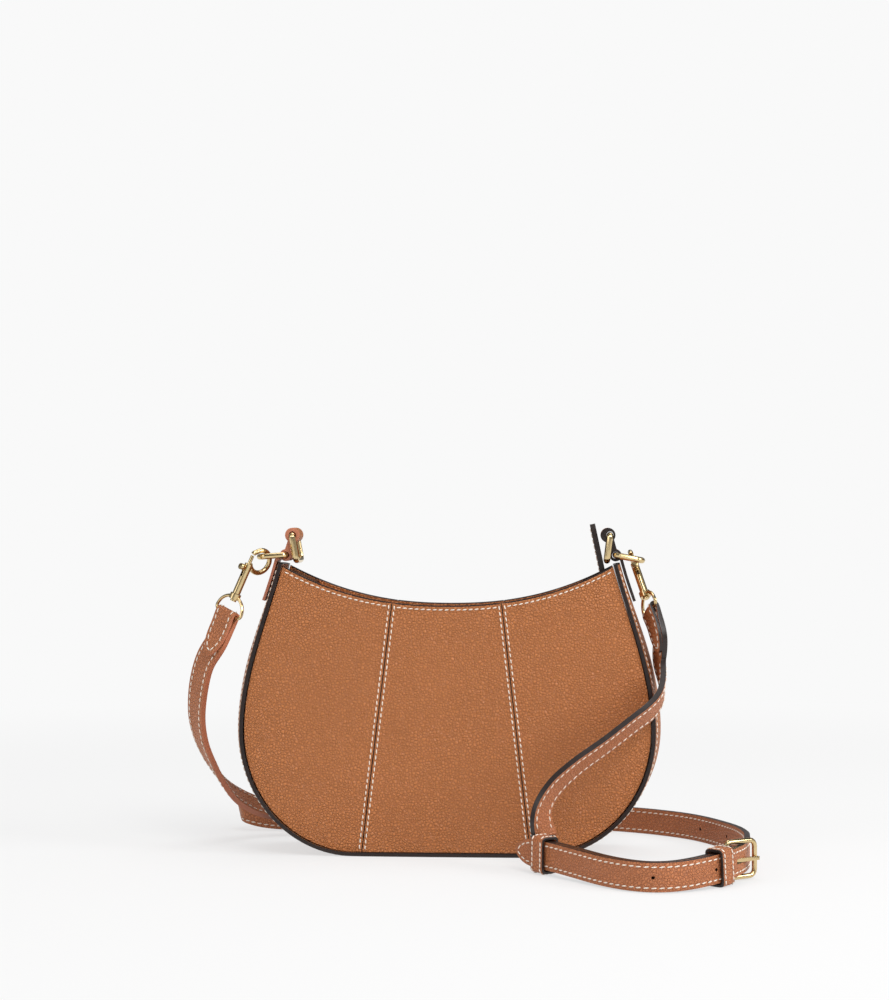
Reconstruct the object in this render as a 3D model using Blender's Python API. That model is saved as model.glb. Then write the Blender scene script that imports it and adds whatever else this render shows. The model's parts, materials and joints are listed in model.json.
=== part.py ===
# Half moon bag in pebbled leather, with a crossbody strap on two swivel hooks.
# Metres, +Z up, the front faces -Y, the origin is the middle of the flat base.
import math

import bmesh
import bpy
from mathutils import Matrix, Vector

# Body outline, front view
HALF_WIDTH = 0.1225
BELLY_HEIGHT = 0.073
FLAT_HALF = 0.054
TIP_INSET = 0.0225
TIP_HALF = HALF_WIDTH - TIP_INSET
TIP_HEIGHT = 0.1712
MOUTH_LOW = 0.1467
MOUTH_POWER = 2.3
SIDE_HANDLE_SHARES = (0.34, 0.068, 0.323)  # heights and inset of the side curve's handles

# Depth of the bag, front to rear
BASE_HALF_DEPTH = 0.030
TIP_HALF_DEPTH = 0.018
GUSSET_BULGE = 0.0040
GUSSET_BULGE_TIP_SHARE = 0.5

# Sheets
GAP = 0.0003
SHARP_ANGLE = math.radians(35.0)
GUSSET_THICK = 0.0022
PANEL_THICK = 0.0018
PANEL_RECESS = 0.0010
PANEL_DOME = 0.0035
DOME_REACH = 0.022
SEAM_TOP_HALF = 0.0322
SEAM_BASE_HALF = 0.0494
BOARD_THICK = 0.0014
LINING_THICK = 0.0007
LINING_DROP = 0.0015

# Zip and its leather bands
BAND_THICK = 0.0012
BAND_UPRIGHT = 0.0070
BAND_INNER_HALF = 0.0088
ZIP_RADIUS = 0.200
ZIP_SINK = 0.0139
ZIP_LOW = MOUTH_LOW - ZIP_SINK
ZIP_HALF_LENGTH = 0.068
TAPE_WIDTH = 0.0092
TAPE_THICK = 0.0007
TAPE_TRAVEL = 0.0075
TEETH_HALF_GAP = 0.0007
TEETH_DEPTH = 0.0016
TEETH_HEIGHT = 0.0018
TEETH_PITCH = 0.0034
SLIDER_LENGTH = 0.011
SLIDER_HALF_WIDTH = 0.0042
SLIDER_PLATE = 0.0012
SLIDER_NECK_HALF = 0.0004
SLIDER_PARK = ZIP_HALF_LENGTH - SLIDER_LENGTH / 2 - GAP
PULL_LENGTH = 0.024
PULL_WIDTH = 0.0055
PULL_THICK = 0.0014
PULL_PIN_RADIUS = 0.0006
ZIP_END_LENGTH = 0.012
ZIP_END_INSET = 0.0029
ZIP_END_REACH = TIP_HALF - ZIP_END_INSET
ZIP_END_THICK = 0.0016
ZIP_END_HALF_DEPTH = 0.0145
END_TAB_THICK = 0.0032
END_TAB_HALF_WIDTH = 0.0078
END_TAB_RISE = 0.0234
END_TAB_RING_GAP = 0.0004
END_TAB_LEAN = math.radians(12.0)

# Ring tabs on the gusset ends
TAB_HALF_WIDTH = 0.009
TAB_PLATE_THICK = 0.0016
TAB_PLATE_LENGTH = 0.024
TAB_BAND_THICK = 0.0032
TOP_ROLL_RADIUS = 0.0044
SIDE_ROLL_RADIUS = 0.0036
TOP_EYELET_INSETS = (0.0070, 0.0040)  # left, right, from the tip
TOP_EYELET_RISE = 0.0168
TOP_ROLL_SHIFTS = (0.0, 0.0012)
SIDE_EYELET_INSETS = (0.0031, 0.0008)
SIDE_EYELET_RISE = 0.0049
SIDE_RING_DROOPS = (math.radians(4.0), math.radians(11.0))

# Rings
TOP_RING_WIRE = 0.0019
TOP_RING_DROP = 0.0152
TOP_RING_LEANS = (math.radians(10.0), math.radians(7.0))
SIDE_RING_WIRE = 0.00175
SIDE_RING_REACH = 0.0162
RING_SIDE_GAP = 0.0006
RING_CORNER = 0.0045

# Swivel hooks
CLAW_RADIUS = 0.0070
CLAW_WIRE = 0.0015
CLAW_START = math.radians(-152.0)
CLAW_END = math.radians(138.0)
CLAW_NOSE_SHARES = (1.25, 0.95)  # of the wire and of the claw's radius
BARREL_RADIUS = 0.0024
BARREL_TOP = 0.0035
BARREL_LENGTH = 0.0190
BORE_RADIUS = 0.00145
BORE_FLOOR = 0.0020
BOLT_RADIUS = 0.0011
BOLT_TIP = 0.0019
BOLT_TAIL = 0.0090
BOLT_TRAVEL = 0.0042
SLOT_HALF_WIDTH = 0.0009
STEM_RADIUS = 0.0006
STEM_PLACE = 0.0063
KNOB_RADIUS = 0.0019
KNOB_LENGTH = 0.0028
KNOB_STAND = 0.0028
SPRING_RADIUS = 0.0010
SPRING_WIRE = 0.0002
SPRING_TURNS = 6
PIN_RADIUS = 0.0011
PIN_HEAD_RADIUS = 0.0019
PIN_HEAD_LENGTH = 0.0010
HUB_RADIUS = 0.0034
HUB_LENGTH = 0.0034
HUB_BORE = 0.0014
EYE_WIRE = 0.0010
EYE_HALF_WIDTH = 0.0112
EYE_HEIGHT = 0.0112
EYE_ARCH = 0.0086
EYE_CORNER = 0.0022

LEFT_GRIP = math.radians(45.0)
RIGHT_GRIP = math.radians(90.0)
GRIP_BACKS = (0.0, 0.0012)  # left, right, along the ring towards its eyelet
LEFT_HOOK_UP = (0.40, 0.0, 0.917)
RIGHT_HOOK_UP = (-0.29, 0.42, 0.860)
LEFT_EYE_ACROSS = (0.84, -0.60, 0.0)
RIGHT_EYE_ACROSS = (0.36, -0.93, 0.0)
LEFT_STRAP_DOWN = (-0.55, 0.08, -0.89)
RIGHT_STRAP_DOWN = (0.22, -0.42, -0.93)

# Strap
STRAP_WIDTH = 0.0155
STRAP_THICK = 0.0032
FOLD_THICK = 0.0017
FOLD_LENGTH = 0.027
TIP_LENGTH = 0.011
TIP_BLUNT_SHARE = 0.12
TIP_POWER = 0.55
HOLE_RADIUS = 0.0010
HOLE_PITCH = 0.036
LAYER_GAP = 0.00035
KEEPER_WIDTH = 0.0105
KEEPER_THICK = 0.0017
KEEPER_GAP = 0.0008

# Buckle
FRAME_WIRE = 0.0015
FRAME_LENGTH = 0.0205
FRAME_HALF_HEIGHT = 0.0097
FRAME_CORNER = 0.0035
FRAME_NEAR_CORNER = 0.0016
FRAME_SWING = math.radians(10.0)
PRONG_SWING = math.radians(40.0)
FOLD_MAIN_PLACES = ((0.009, 0.0032), (0.005, 0.0017))  # distance from the bar, thickness
FOLD_PLY_PLACES = ((0.003, 0.95), (0.0065, 0.6))  # distance from the bar, share of the bend
PRONG_HALF_WIDTH = 0.0010
PRONG_THICK = 0.0017
PRONG_RING = 0.0030

# Fineness
OUTLINE_STEPS = 96
WIRE_SIDES = 10
CUT_OVERRUN = 0.002

LEATHER = ("leather", (0.40, 0.17, 0.075, 1), 0.55, 0.0)
EDGE_PAINT = ("edge_paint", (0.035, 0.022, 0.018, 1), 0.45, 0.0)
BRASS = ("brass", (0.83, 0.66, 0.34, 1), 0.22, 1.0)
CLOTH = ("lining_cloth", (0.36, 0.24, 0.15, 1), 0.9, 0.0)
TAPE = ("zip_tape", (0.30, 0.13, 0.06, 1), 0.85, 0.0)
BOARD = ("board", (0.45, 0.38, 0.28, 1), 0.9, 0.0)
STEEL = ("spring_steel", (0.6, 0.6, 0.62, 1), 0.3, 1.0)


def clear_scene():
    for thing in list(bpy.data.objects):
        bpy.data.objects.remove(thing)


def paint(piece, finish):
    """Give the piece its own material from a finish."""
    name, colour, roughness, metallic = finish
    material = bpy.data.materials.new(f"{piece.name}_{name}")
    material.use_nodes = True
    shader = material.node_tree.nodes["Principled BSDF"]
    shader.inputs["Base Color"].default_value = colour
    shader.inputs["Roughness"].default_value = roughness
    shader.inputs["Metallic"].default_value = metallic
    piece.data.materials.clear()
    piece.data.materials.append(material)


def piece_from(name, shape, finish=None):
    """Turn a bmesh into a named object."""
    mesh = bpy.data.meshes.new(name)
    shape.to_mesh(mesh)
    shape.free()
    piece = bpy.data.objects.new(name, mesh)
    bpy.context.collection.objects.link(piece)
    if finish:
        paint(piece, finish)
    return piece


def set_origin(name, point):
    """Put a moving piece's origin on its joint."""
    piece = bpy.data.objects[name]
    bpy.context.view_layer.update()
    piece.data.transform(Matrix.Translation(-point) @ piece.matrix_world)
    piece.matrix_world = Matrix.Translation(point)


def shade_round(piece):
    """Shade the round faces smoothly and keep the corners sharp."""
    shape = bmesh.new()
    shape.from_mesh(piece.data)
    for face in shape.faces:
        face.smooth = True
    for edge in shape.edges:
        edge.smooth = edge.calc_face_angle(0.0) < SHARP_ANGLE
    shape.to_mesh(piece.data)
    shape.free()


def cut_or_join(piece, tool, operation):
    """Apply a Boolean to the piece with a guide object, then remove the guide."""
    tool.hide_render = True
    tool.display_type = "WIRE"
    modifier = piece.modifiers.new(operation.lower(), "BOOLEAN")
    modifier.operation = operation
    modifier.object = tool
    bpy.context.view_layer.update()
    graph = bpy.context.evaluated_depsgraph_get()
    mesh = bpy.data.meshes.new_from_object(piece.evaluated_get(graph))
    piece.modifiers.clear()
    piece.data = mesh
    bpy.data.objects.remove(tool)


def smooth(edge_low, edge_high, value):
    """A smooth step from 0 to 1 between two values."""
    share = min(1.0, max(0.0, (value - edge_low) / (edge_high - edge_low)))
    return share * share * (3 - 2 * share)


def mouth_height(x):
    """Height of the bag's top edge at x."""
    rise = TIP_HEIGHT - MOUTH_LOW
    return MOUTH_LOW + rise * (abs(x) / TIP_HALF) ** MOUTH_POWER


def half_depth(z):
    """Half the bag's depth at height z: it tapers upwards."""
    return BASE_HALF_DEPTH + (TIP_HALF_DEPTH - BASE_HALF_DEPTH) * z / TIP_HEIGHT


def half_outline():
    """Right half of the outline from the base's middle to the tip, as (x, z)."""
    points = [(0.0, 0.0), (FLAT_HALF / 2, 0.0), (FLAT_HALF, 0.0)]
    corner = HALF_WIDTH - FLAT_HALF
    for step in range(1, OUTLINE_STEPS // 3 + 1):
        angle = math.pi / 2 * step / (OUTLINE_STEPS // 3)
        points.append((FLAT_HALF + corner * math.sin(angle), BELLY_HEIGHT * (1 - math.cos(angle))))
    low, inset, high = SIDE_HANDLE_SHARES
    rise = TIP_HEIGHT - BELLY_HEIGHT
    handles = (
        Vector((HALF_WIDTH, BELLY_HEIGHT)),
        Vector((HALF_WIDTH, BELLY_HEIGHT + rise * low)),
        Vector((TIP_HALF + HALF_WIDTH * inset, TIP_HEIGHT - rise * high)),
        Vector((TIP_HALF, TIP_HEIGHT)),
    )
    for step in range(1, OUTLINE_STEPS // 4 + 1):
        t = step / (OUTLINE_STEPS // 4)
        weights = ((1 - t) ** 3, 3 * t * (1 - t) ** 2, 3 * t * t * (1 - t), t**3)
        point = sum((w * h for w, h in zip(weights, handles)), Vector((0.0, 0.0)))
        points.append((point.x, point.y))
    return points


def full_outline():
    """The outline from the left tip round the base to the right tip."""
    half = half_outline()
    return [Vector((-x, z)) for x, z in reversed(half[1:])] + [Vector(point) for point in half]


def measured(points):
    """Running length along a line of points."""
    lengths = [0.0]
    for first, second in zip(points, points[1:]):
        lengths.append(lengths[-1] + (second - first).length)
    return lengths


def point_along(points, lengths, distance):
    """The point at a distance along a line, and the direction there."""
    distance = min(max(distance, 0.0), lengths[-1])
    index = 0
    while index < len(points) - 2 and lengths[index + 1] < distance:
        index += 1
    span = points[index + 1] - points[index]
    share = (distance - lengths[index]) / (lengths[index + 1] - lengths[index])
    return points[index] + span * share, span.normalized()


def inset_line(points, amount):
    """The outline moved inwards by an amount. Its inner side is on the left."""
    moved = []
    for index, point in enumerate(points):
        before = points[max(index - 1, 0)]
        after = points[min(index + 1, len(points) - 1)]
        along = (after - before).normalized()
        moved.append(point + Vector((-along.y, along.x)) * amount)
    return moved


def resampled(points, count):
    """The same line with evenly spaced points."""
    lengths = measured(points)
    return [
        point_along(points, lengths, lengths[-1] * step / (count - 1))[0] for step in range(count)
    ]


OUTLINE = full_outline()
OUTLINE_LENGTHS = measured(OUTLINE)


def from_edge(x, z):
    """Distance from a point of the front view to the outline."""
    return min((Vector((x, z)) - point).length for point in OUTLINE)


def panel_depth(x, z):
    """How far the outer face of a panel stands from the middle plane."""
    dome = PANEL_DOME * (1 - math.exp(-max(from_edge(x, z) - GUSSET_THICK, 0.0) / DOME_REACH))
    return half_depth(z) - PANEL_RECESS + dome


def bulge(z):
    """How far the gusset swells outwards at mid depth, at height z."""
    low = smooth(0.0, BELLY_HEIGHT, z)
    high = smooth(BELLY_HEIGHT + (TIP_HEIGHT - BELLY_HEIGHT) / 3, TIP_HEIGHT, z)
    return GUSSET_BULGE * low * (1 - (1 - GUSSET_BULGE_TIP_SHARE) * high)


def grid_sheet(name, rows, thickness, outward, finish):
    """A grid of points thickened inwards. outward(point) gives the outer side there."""
    shape = bmesh.new()
    corners = [[shape.verts.new(point) for point in row] for row in rows]
    for below, above in zip(corners, corners[1:]):
        for index in range(len(below) - 1):
            shape.faces.new((below[index], below[index + 1], above[index + 1], above[index]))
    shape.normal_update()
    middle = shape.faces[:][len(shape.faces) // 2]
    if middle.normal.dot(outward(middle.calc_center_median())) < 0:
        bmesh.ops.reverse_faces(shape, faces=shape.faces[:])
    piece = piece_from(name, shape, finish)
    wall = piece.modifiers.new("wall", "SOLIDIFY")
    wall.thickness = thickness
    wall.offset = -1
    return piece


def shell_between(name, outer_rows, inner_rows, finish):
    """A closed sheet between an outer and an inner grid of points."""
    shape = bmesh.new()
    outer = [[shape.verts.new(point) for point in row] for row in outer_rows]
    inner = [[shape.verts.new(point) for point in row] for row in inner_rows]
    last, end = len(outer) - 1, len(outer[0]) - 1
    for grid in (outer, inner):
        for below, above in zip(grid, grid[1:]):
            for index in range(end):
                shape.faces.new((below[index], below[index + 1], above[index + 1], above[index]))
    for row in range(last):
        for side in (0, end):
            corners = (outer[row][side], outer[row + 1][side], inner[row + 1][side], inner[row][side])
            shape.faces.new(corners)
    for index in range(end):
        for row in (0, last):
            corners = (outer[row][index], outer[row][index + 1], inner[row][index + 1], inner[row][index])
            shape.faces.new(corners)
    bmesh.ops.recalc_face_normals(shape, faces=shape.faces)
    return piece_from(name, shape, finish)


def patch(bottom, top, left, right):
    """A Coons patch between four lines: bottom and top run left to right."""
    rows = []
    for j, (start, end) in enumerate(zip(left, right)):
        v = j / (len(left) - 1)
        row = []
        for i, (low, high) in enumerate(zip(bottom, top)):
            u = i / (len(bottom) - 1)
            ruled = low * (1 - v) + high * v + start * (1 - u) + end * u
            corners = (
                bottom[0] * (1 - u) * (1 - v)
                + bottom[-1] * u * (1 - v)
                + top[0] * (1 - u) * v
                + top[-1] * u * v
            )
            row.append(ruled - corners)
        rows.append(row)
    return rows


def seam_line(side, count):
    """Centre of a seam from the base to the mouth, on the left (-1) or right (1)."""
    base = Vector((side * SEAM_BASE_HALF, GUSSET_THICK + GAP))
    top = Vector((side * SEAM_TOP_HALF, mouth_height(SEAM_TOP_HALF)))
    return [base.lerp(top, step / (count - 1)) for step in range(count)]


def mouth_line(x_start, x_end, count, drop=0.0):
    """Points along the mouth between two x values."""
    places = [x_start + (x_end - x_start) * step / (count - 1) for step in range(count)]
    return [Vector((x, mouth_height(x) - drop)) for x in places]


def inner_half(inset, drop=0.0):
    """The inset right-hand outline from the base's middle up to the mouth."""
    line = inset_line([Vector(point) for point in half_outline()], inset)
    line[0].x = 0.0
    while line[-1].y > mouth_height(line[-1].x) - drop:
        line.pop()
    run = line[-1] - line[-2]
    end_x = line[-1].x + (mouth_height(line[-1].x) - drop - line[-1].y) * run.x / run.y
    line.append(Vector((end_x, mouth_height(end_x) - drop)))
    return line


def split_line(line, x):
    """The two parts of a line before and after the first point where it reaches x."""
    for index, (first, second) in enumerate(zip(line, line[1:])):
        if first.x <= x < second.x:
            middle = first.lerp(second, (x - first.x) / (second.x - first.x))
            return line[: index + 1] + [middle], [middle] + line[index + 1 :]
    raise ValueError("the line does not reach this place")


def side_patch():
    """Front view of the right-hand panel: seam, base, outline and mouth."""
    count_up, count_across = 17, 9
    line = inner_half(GUSSET_THICK + GAP)
    lower, outer = split_line(line, FLAT_HALF + (HALF_WIDTH - FLAT_HALF) / 5)
    seam = [point + Vector((GAP / 2, 0.0)) for point in seam_line(1, count_up)]
    lower = [seam[0]] + [point for point in lower if point.x > seam[0].x + GAP]
    outer = resampled(outer, count_up)
    return patch(
        resampled(lower, count_across),
        mouth_line(seam[-1].x, outer[-1].x, count_across),
        seam,
        outer,
    )


def centre_patch():
    """Front view of the centre panel between the two seams."""
    count_up, count_across = 13, 9
    left = [point + Vector((GAP / 2, 0.0)) for point in seam_line(-1, count_up)]
    right = [point - Vector((GAP / 2, 0.0)) for point in seam_line(1, count_up)]
    bottom = [left[0].lerp(right[0], step / (count_across - 1)) for step in range(count_across)]
    return patch(bottom, mouth_line(left[-1].x, right[-1].x, count_across), left, right)


def make_panels():
    """Six leather panels: three in front, three behind, sewn edge to edge."""
    for face, direction in (("front", -1), ("rear", 1)):

        def outer_face(flat_rows, mirror):
            return [
                [Vector((mirror * p.x, direction * panel_depth(p.x, p.y), p.y)) for p in row]
                for row in flat_rows
            ]

        def outward(_point, direction=direction):
            return Vector((0, direction, 0))

        sides = side_patch()
        grid_sheet(f"{face}_panel_left", outer_face(sides, -1), PANEL_THICK, outward, LEATHER)
        grid_sheet(f"{face}_panel_right", outer_face(sides, 1), PANEL_THICK, outward, LEATHER)
        middle = outer_face(centre_patch(), 1)
        grid_sheet(f"{face}_panel_centre", middle, PANEL_THICK, outward, LEATHER)


def band_round(line, depth_of, swell_of, count_deep):
    """Rows of points that follow a line of the front view, from front to rear."""
    rows = []
    for index, point in enumerate(line):
        before, after = line[max(index - 1, 0)], line[min(index + 1, len(line) - 1)]
        along = (after - before).normalized()
        out = Vector((along.y, -along.x))
        row = []
        for step in range(count_deep):
            v = -1 + 2 * step / (count_deep - 1)
            place = point + out * swell_of(point.y) * (1 - v * v)
            row.append(Vector((place.x, v * depth_of(point.y), place.y)))
        rows.append(row)
    return rows


def away_from_middle(point):
    """Outwards from the middle of the bag, seen from the front."""
    return Vector((point.x, 0, point.z - BELLY_HEIGHT))


def make_gusset():
    """The band that joins front and rear; its raw edges are painted dark."""
    line = resampled(OUTLINE, 81)
    outer = band_round(line, half_depth, bulge, 5)
    inner = band_round(inset_line(line, GUSSET_THICK), half_depth, bulge, 5)
    shell_between("gusset", outer, inner, LEATHER)


def make_lining():
    """Cloth lining: front, rear and gusset sheets, and the board under the base."""
    board_low = GUSSET_THICK + GAP
    shape = bmesh.new()
    bmesh.ops.create_cube(shape, size=1)
    board_half_depth = BASE_HALF_DEPTH - PANEL_RECESS - PANEL_THICK - LINING_THICK - 5 * GAP
    scale = Vector((2 * (FLAT_HALF - GAP), 2 * board_half_depth, BOARD_THICK))
    bmesh.ops.scale(shape, vec=scale, verts=shape.verts)
    shift = Vector((0, 0, board_low + BOARD_THICK / 2))
    bmesh.ops.translate(shape, vec=shift, verts=shape.verts)
    piece_from("base_board", shape, BOARD)

    inset = board_low + BOARD_THICK + GAP
    wall = PANEL_RECESS + PANEL_THICK + 2 * GAP + LINING_THICK
    line = [p for p in inset_line(OUTLINE, inset) if p.y < mouth_height(p.x) - LINING_DROP]
    rows = band_round(resampled(line, 49), lambda z: half_depth(z) - wall - GAP, bulge, 3)
    grid_sheet("lining_gusset", rows, LINING_THICK, away_from_middle, CLOTH)

    face_inset = inset + LINING_THICK + GAP
    lower, side = split_line(inner_half(face_inset, LINING_DROP), FLAT_HALF)
    side = resampled(side, 15)
    other = [Vector((-point.x, point.y)) for point in side]
    across = 15
    bottom = [other[0].lerp(side[0], step / (across - 1)) for step in range(across)]
    rows = patch(bottom, mouth_line(other[-1].x, side[-1].x, across, LINING_DROP), other, side)
    for face, direction in (("front", -1), ("rear", 1)):
        back = PANEL_THICK + 3 * GAP
        points = [
            [Vector((p.x, direction * (panel_depth(p.x, p.y) - back), p.y)) for p in row]
            for row in rows
        ]

        def outward(_point, direction=direction):
            return Vector((0, direction, 0))

        grid_sheet(f"lining_{face}", points, LINING_THICK, outward, CLOTH)


def zip_height(x):
    """Middle height of the zip tapes at x: a round arc."""
    return ZIP_LOW + ZIP_RADIUS - math.sqrt(ZIP_RADIUS**2 - x**2)


def make_zip_bands():
    """Leather bands sewn inside the mouth that carry the zip."""
    count = 31
    reach = ZIP_HALF_LENGTH + ZIP_END_LENGTH
    for face, direction in (("front", -1), ("rear", 1)):
        rows = []
        for step in range(count):
            x = -reach + 2 * reach * step / (count - 1)
            top = mouth_height(x) - GAP
            foot = zip_height(x) + TAPE_THICK / 2 + GAP + BAND_THICK
            behind = PANEL_THICK + LINING_THICK + 5 * GAP
            wall = panel_depth(x, top) - behind
            low_wall = panel_depth(x, top - BAND_UPRIGHT) - behind
            section = (
                (wall, top),
                (low_wall, top - BAND_UPRIGHT),
                ((low_wall + BAND_INNER_HALF) / 2, (foot + top - BAND_UPRIGHT) / 2),
                (BAND_INNER_HALF, foot),
            )
            rows.append([Vector((x, direction * depth, height)) for depth, height in section])

        def outward(_point, direction=direction):
            return Vector((0, direction, -1))

        grid_sheet(f"zip_band_{face}", rows, BAND_THICK, outward, LEATHER)


def swept_strip(name, x_start, x_end, count, section, finish):
    """A strip along the zip's arc. section lists (y, height above the zip's middle)."""
    shape = bmesh.new()
    loops = []
    for step in range(count):
        x = x_start + (x_end - x_start) * step / (count - 1)
        angle = math.asin(x / ZIP_RADIUS)
        ring = []
        for y, height in section(step):
            radius = ZIP_RADIUS - height
            place = (radius * math.sin(angle), y, ZIP_LOW + ZIP_RADIUS - radius * math.cos(angle))
            ring.append(shape.verts.new(place))
        loops.append(ring)
    for first, second in zip(loops, loops[1:]):
        sides = len(first)
        for index in range(sides):
            following = (index + 1) % sides
            shape.faces.new((first[index], first[following], second[following], second[index]))
    shape.faces.new(loops[0])
    shape.faces.new(loops[-1])
    bmesh.ops.recalc_face_normals(shape, faces=shape.faces)
    return piece_from(name, shape, finish)


def box_section(y_near, y_far, low, high):
    """A rectangular section in y and height."""
    return [(y_near, low), (y_far, low), (y_far, high), (y_near, high)]


def make_zip():
    """Tapes and teeth of an open zip, and the leather pieces over its two ends."""
    inner = TEETH_HALF_GAP + TEETH_DEPTH / 2 + TAPE_TRAVEL
    outer = inner + TAPE_WIDTH
    for face, direction in (("front", -1), ("rear", 1)):

        def tape(_step, direction=direction):
            near, far = direction * (inner + TEETH_DEPTH / 2 + GAP), direction * outer
            return box_section(near, far, -TAPE_THICK / 2, TAPE_THICK / 2)

        swept_strip(f"zip_tape_{face}", -ZIP_HALF_LENGTH, ZIP_HALF_LENGTH, 25, tape, TAPE)

        steps = 2 * round(2 * ZIP_HALF_LENGTH / TEETH_PITCH)

        def teeth(step, direction=direction):
            shy = TEETH_DEPTH / 2 if (step // 2) % 2 else 0.0
            near = direction * (TEETH_HALF_GAP + TAPE_TRAVEL + shy)
            far = direction * (TEETH_HALF_GAP + TAPE_TRAVEL + TEETH_DEPTH)
            return box_section(near, far, -TEETH_HEIGHT / 2, TEETH_HEIGHT / 2)

        reach = ZIP_HALF_LENGTH - GAP
        swept_strip(f"zip_teeth_{face}", -reach, reach, steps, teeth, BRASS)

    for side, label in ((-1, "left"), (1, "right")):

        def end_piece(_step):
            half = ZIP_END_HALF_DEPTH
            return box_section(-half, half, TAPE_THICK / 2 - ZIP_END_THICK, TAPE_THICK / 2)

        start = side * (ZIP_HALF_LENGTH + GAP)
        swept_strip(f"zip_end_{label}", start, side * ZIP_END_REACH, 7, end_piece, LEATHER)


def box_between(name, low, high, finish=None):
    """A box between two corners."""
    shape = bmesh.new()
    bmesh.ops.create_cube(shape, size=1)
    low, high = Vector(low), Vector(high)
    bmesh.ops.scale(shape, vec=high - low, verts=shape.verts)
    bmesh.ops.translate(shape, vec=(low + high) / 2, verts=shape.verts)
    return piece_from(name, shape, finish)


def rod(name, start, end, radius, finish=None, sides=16):
    """A round rod between two points."""
    shape = bmesh.new()
    start, end = Vector(start), Vector(end)
    bmesh.ops.create_cone(
        shape,
        cap_ends=True,
        segments=sides,
        radius1=radius,
        radius2=radius,
        depth=(end - start).length,
    )
    turn = (end - start).to_track_quat("Z", "Y").to_matrix().to_4x4()
    place = Matrix.Translation((start + end) / 2) @ turn
    bmesh.ops.transform(shape, matrix=place, verts=shape.verts)
    return piece_from(name, shape, finish)


def wire(name, points, radius, closed, finish=None, sides=WIRE_SIDES):
    """A round wire through points, as a curve with a bevel, made a mesh."""
    curve = bpy.data.curves.new(name, "CURVE")
    curve.dimensions = "3D"
    curve.bevel_depth = radius
    curve.bevel_resolution = (sides - 4) // 2
    curve.use_fill_caps = not closed
    line = curve.splines.new("POLY")
    line.points.add(len(points) - 1)
    for target, point in zip(line.points, points):
        target.co = (*point, 1)
    line.use_cyclic_u = closed
    guide = bpy.data.objects.new(name + "_path", curve)
    bpy.context.collection.objects.link(guide)
    bpy.context.view_layer.update()
    mesh = bpy.data.meshes.new_from_object(guide)
    bpy.data.objects.remove(guide)
    shape = bmesh.new()
    shape.from_mesh(mesh)
    bpy.data.meshes.remove(mesh)
    bmesh.ops.remove_doubles(shape, verts=shape.verts, dist=GAP / 100)
    bmesh.ops.recalc_face_normals(shape, faces=shape.faces)
    return piece_from(name, shape, finish)


def make_slider():
    """Zip slider, parked at the right end, and its pull."""
    angle = math.asin(SLIDER_PARK / ZIP_RADIUS)
    centre = Vector((0, 0, ZIP_LOW + ZIP_RADIUS))
    spot = centre + Vector((ZIP_RADIUS * math.sin(angle), 0, -ZIP_RADIUS * math.cos(angle)))
    hinge = centre + (ZIP_RADIUS - TEETH_HEIGHT / 2 - GAP - SLIDER_PLATE - 2.4 * PULL_PIN_RADIUS) * Vector(
        (math.sin(angle), 0, -math.cos(angle))
    )
    turn = Matrix.Translation(spot) @ Matrix.Rotation(-angle, 4, "Y")
    lift = TEETH_HEIGHT / 2 + GAP
    half = SLIDER_LENGTH / 2
    top = lift + SLIDER_PLATE
    slider = box_between(
        "zip_slider", (-half, -SLIDER_HALF_WIDTH, lift), (half, SLIDER_HALF_WIDTH, top), BRASS
    )
    under = box_between(
        "under_plate", (-half, -SLIDER_HALF_WIDTH, -top), (half, SLIDER_HALF_WIDTH, -lift)
    )
    cut_or_join(slider, under, "UNION")
    neck = box_between(
        "neck",
        (-half / 2, -SLIDER_NECK_HALF, -top + SLIDER_PLATE / 2),
        (half / 2, SLIDER_NECK_HALF, top - SLIDER_PLATE / 2),
    )
    cut_or_join(slider, neck, "UNION")
    pin = PULL_PIN_RADIUS
    bail_high = top + 5 * pin
    bail = box_between(
        "bail", (-4 * pin, -2 * pin, top - SLIDER_PLATE / 2), (4 * pin, 2 * pin, bail_high)
    )
    cut_or_join(slider, bail, "UNION")
    hinge_height = top + 2.4 * pin
    eye_half = pin + GAP
    eye = box_between(
        "eye",
        (-eye_half, -3 * pin, hinge_height - eye_half),
        (eye_half, 3 * pin, hinge_height + eye_half),
    )
    cut_or_join(slider, eye, "DIFFERENCE")
    slider.matrix_world = turn

    pull_half = PULL_WIDTH / 2
    low = hinge_height - pin
    cheek = 2 * pin + GAP
    pull = rod("zip_pull", (0, -pull_half, hinge_height), (0, pull_half, hinge_height), pin, BRASS)
    for side in (-1, 1):
        arm = box_between(
            "arm",
            (-pin, side * cheek, low),
            (8 * pin, side * pull_half, low + 2 * pin),
        )
        cut_or_join(pull, arm, "UNION")
    blade = box_between(
        "blade", (7 * pin, -pull_half, low), (PULL_LENGTH, pull_half, low + PULL_THICK)
    )
    cut_or_join(pull, blade, "UNION")
    pull.matrix_world = turn
    set_origin("zip_slider", centre)
    set_origin("zip_pull", hinge)


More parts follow.
